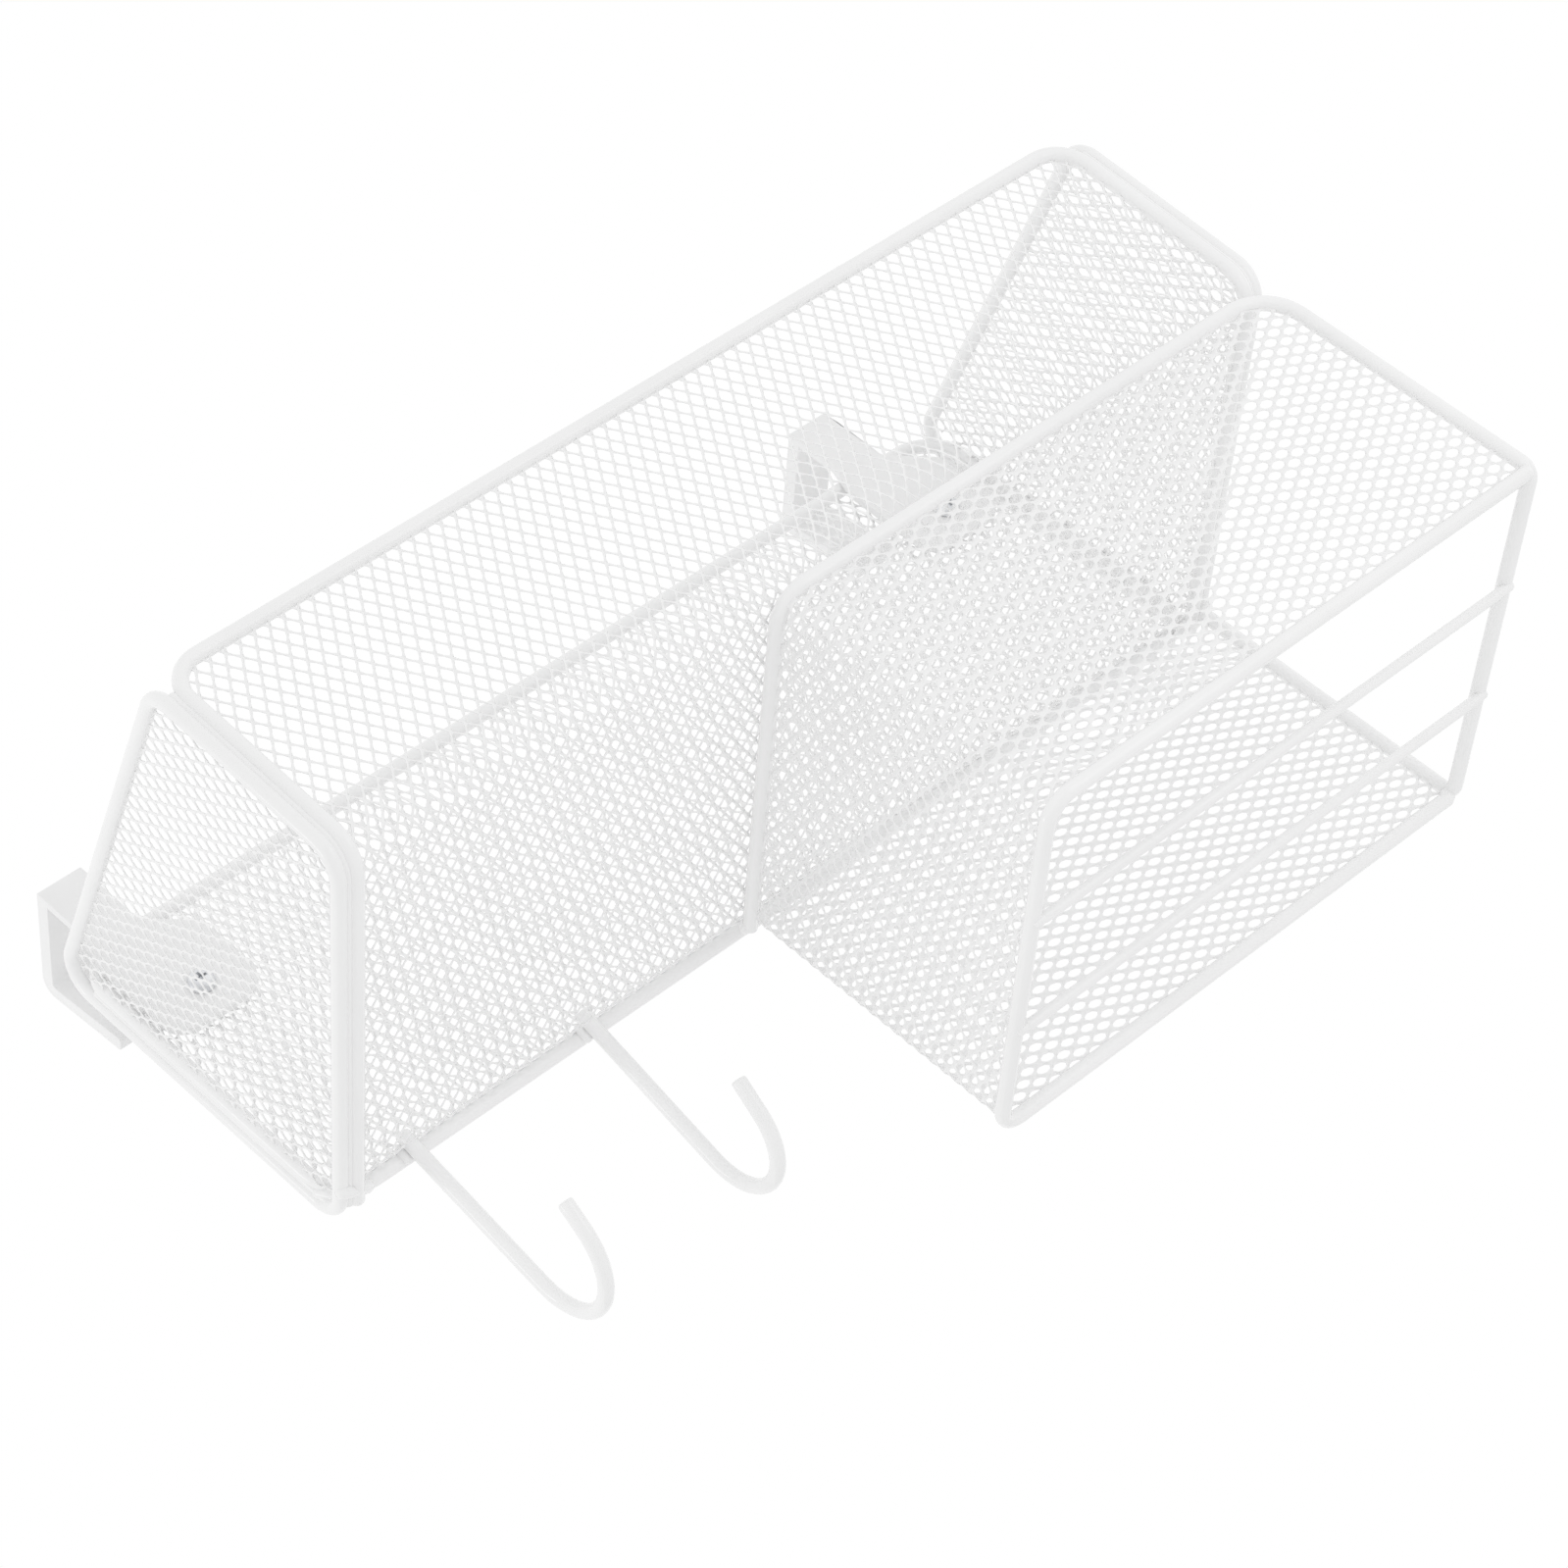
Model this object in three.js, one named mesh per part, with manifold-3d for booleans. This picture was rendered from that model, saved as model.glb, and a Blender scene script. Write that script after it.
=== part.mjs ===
// Hanging metal basket for a rail: a long open-topped basket of wire and expanded mesh, a lower mesh
// box under its right half that opens to the right, two towel hooks under its left half, and two
// brackets that hang over the rail behind it. Millimetres. +X runs along the rail, +Y points to the
// wall and +Z is up. The origin is on top of the rail, midway between the two brackets.
import * as THREE from 'three';
import { mergeGeometries, mergeVertices } from 'three/addons/utils/BufferGeometryUtils.js';
import Module from 'manifold-3d';

const wasm = await Module();
wasm.setup();

const degree = Math.PI / 180;

// Main basket, between the centre lines of its side frames' wires
const basketLength = 340;
const basketDepth = 141.4;
const frontHeight = 71.3;
const frontLean = 3.9;
const backHeight = 116.7;

// Wires
const wireDiameter = 4.5;
const weldGap = 0.3;
const wireSides = 8;
const bendSteps = 4;

// Side frames
const sideBendRadius = 9;

// Front frame wire, seen from the side frame's wire that it is welded along
const frontWireAngle = 14.4 * degree;
const frontRimRise = 1.9;
const frontRimBendRadius = 11;
const frontWireEndSetback = 5.8;

// Back frame
const backWireAngle = 7.2 * degree;
const backFrameRise = 1.5;
const backFrameDrop = 4.3;
const backBendRadius = 14;

// Expanded mesh, with its cells and strands drawn coarser than the real ones
const meshThickness = 1;
const cellLength = 36.5;
const cellWidth = 24;
const strandWidth = 3.4;
const meshBorder = 2.2;
const smallestGapShare = 0.2;

// Lower box, between wire centre lines
const lowerBoxLeft = 147;
const lowerBoxEndSetback = 1.7;
const lowerBoxFront = 0.5;
const lowerBoxBackSetback = 12.4;
const lowerBoxBottom = 101.8;
const rimLeftBendRadius = 10;
const rimRightBendRadius = 14;
const rimFootBendRadius = 4;
const endWireBendRadius = 8;
const lowerFoldRadius = 7;

// Bars across the bottom of the lower box, which share its depth into equal bays
const barDiameter = 3.2;
const barDrop = 1.8;
const bottomBays = 3;

// Towel hooks
const leftHookPlace = 25.8;
const rightHookPlace = 90.9;
const leftHookLean = 10.3 * degree;
const rightHookLean = 13.8 * degree;
const leftHookLegLength = 53.3;
const rightHookLegLength = 51.8;
const leftHookCurlRadius = 19.9;
const rightHookCurlRadius = 18.3;
const leftHookTipLength = 7.8;
const rightHookTipLength = 10.3;
const hookCurlAngle = 159.4 * degree;
const hookTopRise = 3.8;
const hookCurlSteps = 10;

// Brackets, from the top of the web down and from the left edge of the strip. The left one's place
// is measured from the left end of the basket, and the right one's setback from the right end.
const leftBracketPlace = 6.6;
const rightBracketSetback = 23.3;
const stripWidth = 15.6;
const webRise = 20.8;
const webThickness = 4.6;
const bracketDepth = 40.3;
const flangeThickness = 4.6;
const flangeLength = 35.2;
const flangeLean = 3.7;
const webBendRadius = 5;
const webInnerRadius = 1.5;
const plateThickness = 2.5;
const plateLength = 67.2;
const plateLeftReach = 4;
const plateRightReach = 12.8;
const leftShoulderTop = 19.5;
const leftShoulderFoot = 31.5;
const rightShoulderTop = 25.5;
const rightShoulderFoot = 37.5;
const shoulderRadius = 3;
const plateCornerRadius = 8;

// Bracket screws and what they clamp with
const screwDiameter = 4;
const screwClearance = 0.3;
const screwPlace = 13.4;
const screwDrop = 55.7;
const screwHeadDiameter = 8;
const screwHeadHeight = 2.6;
const screwTailLength = 1;
const bossDiameter = 10;
const washerDiameter = 16;
const washerThickness = 1.2;
const nutAcrossFlats = 7;
const nutThickness = 3.2;
const roundSides = 16;
const cutOverrun = 2;

// Worked out from the sizes above
const wireRadius = wireDiameter / 2;
const wireSpacing = wireDiameter + weldGap;
const wireSeat = wireRadius + weldGap;
const lowerBoxRight = basketLength - lowerBoxEndSetback;
const lowerBoxBack = basketDepth - lowerBoxBackSetback;
const rightBracketPlace = basketLength - rightBracketSetback - stripWidth;
const frontWireInset = wireSpacing * Math.cos(frontWireAngle);
const frontWireProud = wireSpacing * Math.sin(frontWireAngle);
const backFrameInset = wireSpacing * Math.sin(backWireAngle);
const backFrameY = basketDepth - wireSpacing * Math.cos(backWireAngle);
const backFrameTop = backHeight - backFrameDrop;
const frontWireLeft = frontWireInset;
const frontWireRight = basketLength - frontWireInset;
const sheetLeft = frontWireLeft + wireSeat;
const sheetRight = frontWireRight - wireSeat;
const rimZ = -frontWireProud - meshThickness / 2 - wireSeat;
const screwHoleRadius = screwDiameter / 2 + screwClearance;
const plateRearY = backFrameY - wireSeat;
const plateFrontY = plateRearY - plateThickness;
const webTopZ = backHeight + webRise;
const webUndersideZ = webTopZ - webThickness;
const backMeshFrontY = backFrameY - meshThickness / 2;
const backMeshRearY = backFrameY + meshThickness / 2;
const railFrontY = basketDepth + wireRadius;
const railRearY = plateFrontY + bracketDepth - flangeThickness;
const railCentre = new THREE.Vector3(
  (leftBracketPlace + rightBracketPlace + stripWidth) / 2,
  (railFrontY + railRearY) / 2,
  webUndersideZ,
);

// Directions that flat outlines are placed along
const alongX = new THREE.Vector3(1, 0, 0);
const alongY = new THREE.Vector3(0, 1, 0);
const alongZ = new THREE.Vector3(0, 0, 1);

const basket = new THREE.Group();
basket.position.copy(railCentre).negate();

function addPiece(name, geometry, colour, roughness, metalness) {
  const material = new THREE.MeshStandardMaterial({ color: colour, roughness, metalness });
  const piece = new THREE.Mesh(geometry, material);
  piece.name = name;
  basket.add(piece);
}

function addPaintedSteel(name, geometry) {
  addPiece(name, geometry, '#f0f0ef', 0.35, 0);
}

function addPlastic(name, geometry) {
  addPiece(name, geometry, '#efefee', 0.45, 0);
}

function addZinc(name, geometry) {
  addPiece(name, geometry, '#b9bcc0', 0.35, 0.9);
}

// Rounds each corner of a route or outline by an arc, as far as its two sides leave room
function roundCorners(corners, radii, closed) {
  const points = [];
  const count = corners.length;
  corners.forEach((corner, i) => {
    const isEnd = !closed && (i === 0 || i === count - 1);
    if (isEnd || radii[i] === 0) {
      points.push(corner.clone());
      return;
    }
    const toBefore = corners[(i + count - 1) % count].clone().sub(corner);
    const toAfter = corners[(i + 1) % count].clone().sub(corner);
    const halfAngle = toBefore.angleTo(toAfter) / 2;
    const room = (Math.min(toBefore.length(), toAfter.length()) / 2) * Math.tan(halfAngle);
    const radius = Math.min(radii[i], room);
    const reach = radius / Math.tan(halfAngle);
    const start = corner.clone().addScaledVector(toBefore.normalize(), reach);
    const end = corner.clone().addScaledVector(toAfter.normalize(), reach);
    const inward = toBefore.clone().add(toAfter).normalize();
    const centre = corner.clone().addScaledVector(inward, radius / Math.sin(halfAngle));
    const turn = Math.PI - 2 * halfAngle;
    for (let step = 0; step <= bendSteps; step += 1) {
      const angle = (turn * step) / bendSteps;
      const point = centre.clone();
      point.addScaledVector(start.clone().sub(centre), Math.sin(turn - angle) / Math.sin(turn));
      point.addScaledVector(end.clone().sub(centre), Math.sin(angle) / Math.sin(turn));
      points.push(point);
    }
  });
  return points;
}

// Same radius at every corner
function roundAll(corners, radius, closed) {
  return roundCorners(corners, corners.map(() => radius), closed);
}

// Round wire along a route, with flat ends unless the route closes on itself
function wireGeometry(route, diameter, closed = false) {
  const count = route.length;
  const tangents = route.map((point, i) => {
    const before = closed ? route[(i + count - 1) % count] : route[Math.max(i - 1, 0)];
    const after = closed ? route[(i + 1) % count] : route[Math.min(i + 1, count - 1)];
    const into = point.clone().sub(before).normalize();
    const out = after.clone().sub(point).normalize();
    return into.add(out).normalize();
  });
  const first = tangents[0];
  let normal = new THREE.Vector3(first.y, first.z, first.x).cross(first).normalize();
  const positions = [];
  route.forEach((point, i) => {
    if (i > 0) {
      const twist = new THREE.Quaternion().setFromUnitVectors(tangents[i - 1], tangents[i]);
      normal = normal.clone().applyQuaternion(twist);
    }
    const binormal = tangents[i].clone().cross(normal);
    for (let side = 0; side < wireSides; side += 1) {
      const angle = (2 * Math.PI * side) / wireSides;
      const spoke = normal.clone().multiplyScalar(Math.cos(angle));
      spoke.addScaledVector(binormal, Math.sin(angle));
      positions.push(...point.clone().addScaledVector(spoke, diameter / 2).toArray());
    }
  });
  const triangles = [];
  const spans = closed ? count : count - 1;
  for (let i = 0; i < spans; i += 1) {
    const ring = i * wireSides;
    const nextRing = ((i + 1) % count) * wireSides;
    for (let side = 0; side < wireSides; side += 1) {
      const nextSide = (side + 1) % wireSides;
      triangles.push(ring + side, ring + nextSide, nextRing + nextSide);
      triangles.push(ring + side, nextRing + nextSide, nextRing + side);
    }
  }
  if (!closed) {
    const endRing = (count - 1) * wireSides;
    for (let side = 1; side < wireSides - 1; side += 1) {
      triangles.push(0, side + 1, side);
      triangles.push(endRing, endRing + side, endRing + side + 1);
    }
  }
  const geometry = new THREE.BufferGeometry();
  geometry.setAttribute('position', new THREE.Float32BufferAttribute(positions, 3));
  geometry.setIndex(triangles);
  return geometry;
}

// Turns a geometry's X and Y into two directions of the basket and moves its origin
function place(geometry, across, up, origin) {
  const matrix = new THREE.Matrix4().makeBasis(across, up, across.clone().cross(up));
  return geometry.applyMatrix4(matrix.setPosition(origin));
}

// Slab of an outline, centred on the outline's plane
function slab(outline, thickness) {
  const shape = new THREE.Shape(outline);
  const geometry = new THREE.ExtrudeGeometry(shape, { depth: thickness, bevelEnabled: false });
  return geometry.translate(0, 0, -thickness / 2);
}

function toSolid(geometry) {
  const bare = geometry.clone();
  bare.deleteAttribute('normal');
  bare.deleteAttribute('uv');
  const merged = mergeVertices(bare);
  const mesh = new wasm.Mesh({
    numProp: 3,
    vertProperties: merged.attributes.position.array,
    triVerts: Uint32Array.from(merged.index.array),
  });
  return new wasm.Manifold(mesh);
}

function toGeometry(solid) {
  const mesh = solid.getMesh();
  const geometry = new THREE.BufferGeometry();
  geometry.setAttribute('position', new THREE.BufferAttribute(mesh.vertProperties, 3));
  geometry.setIndex(new THREE.BufferAttribute(mesh.triVerts, 1));
  return geometry;
}

function boxBetween(low, high) {
  const size = high.clone().sub(low);
  const geometry = new THREE.BoxGeometry(size.x, size.y, size.z);
  const centre = low.clone().add(high).multiplyScalar(1 / 2);
  return geometry.translate(centre.x, centre.y, centre.z);
}

// Round bar along +Y between two places, about a point in X and Z
function roundAlongY(radius, x, z, fromY, toY) {
  const geometry = new THREE.CylinderGeometry(radius, radius, toY - fromY, roundSides);
  return geometry.translate(x, (fromY + toY) / 2, z);
}

function rectangle(left, right, bottom, top) {
  return [
    new THREE.Vector2(left, bottom),
    new THREE.Vector2(right, bottom),
    new THREE.Vector2(right, top),
    new THREE.Vector2(left, top),
  ];
}

// Moves each side of a convex outline inwards; its corners run anticlockwise
function insetOutline(outline, distance) {
  const count = outline.length;
  return outline.map((corner, i) => {
    const into = corner.clone().sub(outline[(i + count - 1) % count]).normalize();
    const out = outline[(i + 1) % count].clone().sub(corner).normalize();
    const turn = into.cross(out);
    return corner.clone().addScaledVector(out.clone().sub(into), distance / turn);
  });
}

// The part of a convex polygon that lies inside a convex outline
function clipToOutline(polygon, outline) {
  let kept = polygon;
  outline.forEach((corner, i) => {
    const side = outline[(i + 1) % outline.length].clone().sub(corner);
    const depth = (point) => side.cross(point.clone().sub(corner));
    const next = [];
    kept.forEach((point, j) => {
      const after = kept[(j + 1) % kept.length];
      const here = depth(point);
      const there = depth(after);
      if (here >= 0) {
        next.push(point);
      }
      if (here * there < 0) {
        next.push(point.clone().lerp(after, here / (here - there)));
      }
    });
    kept = next;
  });
  return kept;
}

// Staggered diamond gaps of one mesh panel, cut off at its border. along and across are the cell's
// sizes in the outline's Y and X.
function netGaps(outline, along, across, isSolidAt = () => false) {
  const field = insetOutline(outline, meshBorder);
  const xs = field.map((corner) => corner.x);
  const ys = field.map((corner) => corner.y);
  const midX = (Math.min(...xs) + Math.max(...xs)) / 2;
  const midY = (Math.min(...ys) + Math.max(...ys)) / 2;
  const columns = Math.ceil((Math.max(...xs) - midX) / across) + 1;
  const rows = Math.ceil((Math.max(...ys) - midY) / (along / 2)) + 1;
  const inradius = (across * along) / 2 / Math.hypot(across, along);
  const shrink = 1 - strandWidth / 2 / inradius;
  const halfWidth = (across / 2) * shrink;
  const halfHeight = (along / 2) * shrink;
  const fullArea = 2 * halfWidth * halfHeight;
  const gaps = [];
  for (let row = -rows; row <= rows; row += 1) {
    const shift = row % 2 === 0 ? 0 : across / 2;
    for (let column = -columns; column <= columns; column += 1) {
      const x = midX + column * across + shift;
      const y = midY + (row * along) / 2;
      const diamond = [
        new THREE.Vector2(x, y - halfHeight),
        new THREE.Vector2(x + halfWidth, y),
        new THREE.Vector2(x, y + halfHeight),
        new THREE.Vector2(x - halfWidth, y),
      ];
      const gap = clipToOutline(diamond, field);
      const area = gap.length < 3 ? 0 : THREE.ShapeUtils.area(gap);
      if (area > smallestGapShare * fullArea && !isSolidAt(x, y)) {
        gaps.push(gap);
      }
    }
  }
  return gaps;
}

// Prisms that cut gaps through a panel whose outline is placed by two directions and an origin
function gapPrisms(gaps, across, up, origin) {
  const prisms = gaps.map((gap) => slab(gap, meshThickness + 2 * cutOverrun));
  return place(mergeGeometries(prisms), across, up, origin);
}

// Outline of a bent strip from its centre line
function stripOutline(line, thickness) {
  const count = line.length;
  const edge = (side) => line.map((point, i) => {
    const into = point.clone().sub(line[Math.max(i - 1, 0)]).normalize();
    const out = line[Math.min(i + 1, count - 1)].clone().sub(point).normalize();
    const tangent = into.clone().add(out).normalize();
    const straight = i === 0 || i === count - 1 ? 1 : tangent.dot(out);
    const offset = (side * thickness) / 2 / straight;
    return point.clone().add(new THREE.Vector2(-tangent.y, tangent.x).multiplyScalar(offset));
  });
  return [...edge(-1), ...edge(1).reverse()];
}

// Height of the side frames' sloping top wire above the bottom wire, at a distance from the front
function slopeHeight(y) {
  const share = (y + frontLean) / (basketDepth + frontLean);
  return frontHeight + (backHeight - frontHeight) * share;
}

// Direction and outward side of the front corner wires, in Y and Z
const frontUp = new THREE.Vector2(-frontLean, frontHeight).normalize();
const frontOut = new THREE.Vector2(-frontUp.y, frontUp.x);

// Place in Y of the front panel's plane at a height
function frontPanelY(z) {
  const foot = frontOut.clone().multiplyScalar(frontWireProud);
  return foot.x + ((z - foot.y) * frontUp.x) / frontUp.y;
}

function sideFrameGeometry(x) {
  const corners = [
    new THREE.Vector3(x, 0, 0),
    new THREE.Vector3(x, basketDepth, 0),
    new THREE.Vector3(x, basketDepth, backHeight),
    new THREE.Vector3(x, -frontLean, frontHeight),
  ];
  return wireGeometry(roundAll(corners, sideBendRadius, true), wireDiameter, true);
}

function sideMeshGeometry(x) {
  const corners = [
    new THREE.Vector2(0, 0),
    new THREE.Vector2(backFrameY, 0),
    new THREE.Vector2(backFrameY, slopeHeight(backFrameY)),
    new THREE.Vector2(-frontLean, frontHeight),
  ];
  const outline = insetOutline(corners, wireSeat);
  const origin = new THREE.Vector3(x, 0, 0);
  const rounded = roundAll(outline, Math.max(sideBendRadius - wireSeat, 0), true);
  const sheet = toSolid(place(slab(rounded, meshThickness), alongY, alongZ, origin));
  const gaps = netGaps(outline, cellWidth, cellLength);
  return toGeometry(sheet.subtract(toSolid(gapPrisms(gaps, alongY, alongZ, origin))));
}

function frontFrameGeometry() {
  const rimZTop = frontHeight + frontRimRise;
  const rimY = frontPanelY(rimZTop);
  const footZ = -frontWireProud;
  const footY = frontPanelY(footZ);
  const endY = basketDepth - frontWireEndSetback;
  const corners = [
    new THREE.Vector3(frontWireLeft, endY, footZ),
    new THREE.Vector3(frontWireLeft, footY, footZ),
    new THREE.Vector3(frontWireLeft, rimY, rimZTop),
    new THREE.Vector3(frontWireRight, rimY, rimZTop),
    new THREE.Vector3(frontWireRight, footY, footZ),
    new THREE.Vector3(frontWireRight, endY, footZ),
  ];
  const foldRadius = sideBendRadius + frontWireProud;
  const radii = [0, foldRadius, frontRimBendRadius, frontRimBendRadius, foldRadius, 0];
  return wireGeometry(roundCorners(corners, radii, false), wireDiameter);
}

function backFrameGeometry() {
  const left = backFrameInset;
  const right = basketLength - backFrameInset;
  const corners = rectangle(left, right, backFrameRise, backFrameTop).map(
    (corner) => new THREE.Vector3(corner.x, backFrameY, corner.y),
  );
  return wireGeometry(roundAll(corners, backBendRadius, true), wireDiameter, true);
}

function screwPoint(stripLeft) {
  return new THREE.Vector2(stripLeft + screwPlace, webTopZ - screwDrop);
}

function backMeshGeometry() {
  const left = backFrameInset + wireSeat;
  const right = basketLength - left;
  const outline = rectangle(left, right, backFrameRise + wireSeat, backFrameTop - wireSeat);
  const origin = new THREE.Vector3(0, backFrameY, 0);
  const rounded = roundAll(outline, Math.max(backBendRadius - wireSeat, 0), true);
  let sheet = toSolid(place(slab(rounded, meshThickness), alongX, alongZ, origin));
  const screws = [screwPoint(leftBracketPlace), screwPoint(rightBracketPlace)];
  const isSolidAt = (x, z) => screws.some((screw) => {
    const overX = Math.abs(x - screw.x) / (cellWidth / 2 + bossDiameter / 2);
    const overZ = Math.abs(z - screw.y) / (cellLength / 2 + bossDiameter / 2);
    return overX + overZ < 1;
  });
  const gaps = netGaps(outline, cellLength, cellWidth, isSolidAt);
  sheet = sheet.subtract(toSolid(gapPrisms(gaps, alongX, alongZ, origin)));
  screws.forEach((screw) => {
    const fromY = backMeshFrontY - cutOverrun;
    const toY = backMeshRearY + cutOverrun;
    sheet = sheet.subtract(toSolid(roundAlongY(screwHoleRadius, screw.x, screw.y, fromY, toY)));
  });
  return toGeometry(sheet);
}

// A hook's leg leans back against the back frame's bottom wire
function hookGeometry(x, lean, legLength, curlRadius, tipLength) {
  const down = new THREE.Vector2(Math.sin(lean), -Math.cos(lean));
  const toWire = new THREE.Vector2(Math.cos(lean), Math.sin(lean));
  const touch = new THREE.Vector2(backFrameY, backFrameRise).addScaledVector(toWire, -wireSpacing);
  const top = touch.clone().addScaledVector(down, -hookTopRise);
  const curlStart = touch.clone().addScaledVector(down, legLength);
  const curlCentre = curlStart.clone().addScaledVector(toWire, -curlRadius);
  const points = [top];
  for (let step = 0; step <= hookCurlSteps; step += 1) {
    const angle = (hookCurlAngle * step) / hookCurlSteps;
    const point = curlCentre.clone();
    point.addScaledVector(toWire, curlRadius * Math.cos(angle));
    point.addScaledVector(down, curlRadius * Math.sin(angle));
    points.push(point);
  }
  const tip = points[points.length - 1].clone();
  tip.addScaledVector(toWire, -tipLength * Math.sin(hookCurlAngle));
  tip.addScaledVector(down, tipLength * Math.cos(hookCurlAngle));
  points.push(tip);
  return wireGeometry(points.map((point) => new THREE.Vector3(x, point.x, point.y)), wireDiameter);
}

// The front and the bottom are one sheet, bent along the front lower edge and notched for the hooks
function frontBottomMeshGeometry() {
  const topZ = frontHeight + frontRimRise - wireSeat;
  const footZ = -frontWireProud;
  const rearY = backFrameY - wireSeat;
  const foldRadius = sideBendRadius + frontWireProud;
  const foot = new THREE.Vector2(frontPanelY(footZ), footZ);
  const corners = [
    new THREE.Vector2(rearY, footZ),
    foot,
    new THREE.Vector2(frontPanelY(topZ), topZ),
  ];
  const line = roundAll(corners, foldRadius, false);
  const width = sheetRight - sheetLeft;
  const centre = new THREE.Vector3((sheetLeft + sheetRight) / 2, 0, 0);
  let sheet = toSolid(place(slab(stripOutline(line, meshThickness), width), alongY, alongZ, centre));

  const cornerRadius = Math.max(frontRimBendRadius - wireSeat, 0);
  const lowZ = footZ - cutOverrun;
  const front = rectangle(sheetLeft, sheetRight, lowZ, topZ);
  const rounded = roundCorners(front, [0, 0, cornerRadius, cornerRadius], true);
  const midY = new THREE.Vector3(0, rearY / 2, 0);
  const trim = slab(rounded, 2 * (rearY + frontLean + sideBendRadius));
  sheet = sheet.intersect(toSolid(place(trim, alongX, alongZ, midY)));

  const up = new THREE.Vector3(0, frontUp.x, frontUp.y);
  const frontLength = (topZ - footZ) / frontUp.y;
  const frontField = rectangle(sheetLeft, sheetRight, foldRadius, frontLength);
  const frontOrigin = new THREE.Vector3(0, foot.x, foot.y);
  const frontGaps = netGaps(frontField, cellLength, cellWidth);
  sheet = sheet.subtract(toSolid(gapPrisms(frontGaps, alongX, up, frontOrigin)));
  const bottomField = rectangle(sheetLeft, sheetRight, foldRadius, rearY - foot.x);
  const bottomGaps = netGaps(bottomField, cellLength, cellWidth);
  sheet = sheet.subtract(toSolid(gapPrisms(bottomGaps, alongX, alongY, frontOrigin)));

  [[leftHookPlace, leftHookLean], [rightHookPlace, rightHookLean]].forEach(([x, lean]) => {
    const legY = backFrameY - wireSpacing / Math.cos(lean) + (backFrameRise - footZ) * Math.tan(lean);
    const notchFrontY = legY - wireSeat / Math.cos(lean) - meshThickness * Math.tan(lean);
    const low = new THREE.Vector3(x - wireSeat, notchFrontY, footZ - cutOverrun);
    const high = new THREE.Vector3(x + wireSeat, rearY + cutOverrun, footZ + cutOverrun);
    sheet = sheet.subtract(toSolid(boxBetween(low, high)));
  });
  return toGeometry(sheet);
}

// The rim wire borders the lower box's left and front, and its open right end all round
function rimWireGeometry() {
  const topEndZ = -frontWireProud - wireSeat;
  const corners = [
    new THREE.Vector3(lowerBoxLeft, lowerBoxBack, rimZ),
    new THREE.Vector3(lowerBoxLeft, lowerBoxFront, rimZ),
    new THREE.Vector3(lowerBoxRight, lowerBoxFront, rimZ),
    new THREE.Vector3(lowerBoxRight, lowerBoxFront, -lowerBoxBottom),
    new THREE.Vector3(lowerBoxRight, lowerBoxBack, -lowerBoxBottom),
    new THREE.Vector3(lowerBoxRight, lowerBoxBack, topEndZ),
  ];
  const radii = [0, rimLeftBendRadius, rimRightBendRadius, rimFootBendRadius, rimFootBendRadius, 0];
  return wireGeometry(roundCorners(corners, radii, false), wireDiameter);
}

function endWireGeometry() {
  const endX = lowerBoxRight - wireSeat;
  const corners = [
    new THREE.Vector3(endX, lowerBoxFront, -lowerBoxBottom),
    new THREE.Vector3(lowerBoxLeft, lowerBoxFront, -lowerBoxBottom),
    new THREE.Vector3(lowerBoxLeft, lowerBoxBack, -lowerBoxBottom),
    new THREE.Vector3(endX, lowerBoxBack, -lowerBoxBottom),
  ];
  return wireGeometry(roundAll(corners, endWireBendRadius, false), wireDiameter);
}

// Bar behind a number of bays, counted from the front
function barGeometry(bays) {
  const y = lowerBoxFront + ((lowerBoxBack - lowerBoxFront) * bays) / bottomBays;
  const z = -lowerBoxBottom - barDrop;
  const route = [
    new THREE.Vector3(lowerBoxLeft + wireSeat, y, z),
    new THREE.Vector3(lowerBoxRight - wireSeat, y, z),
  ];
  return wireGeometry(route, barDiameter);
}

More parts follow.
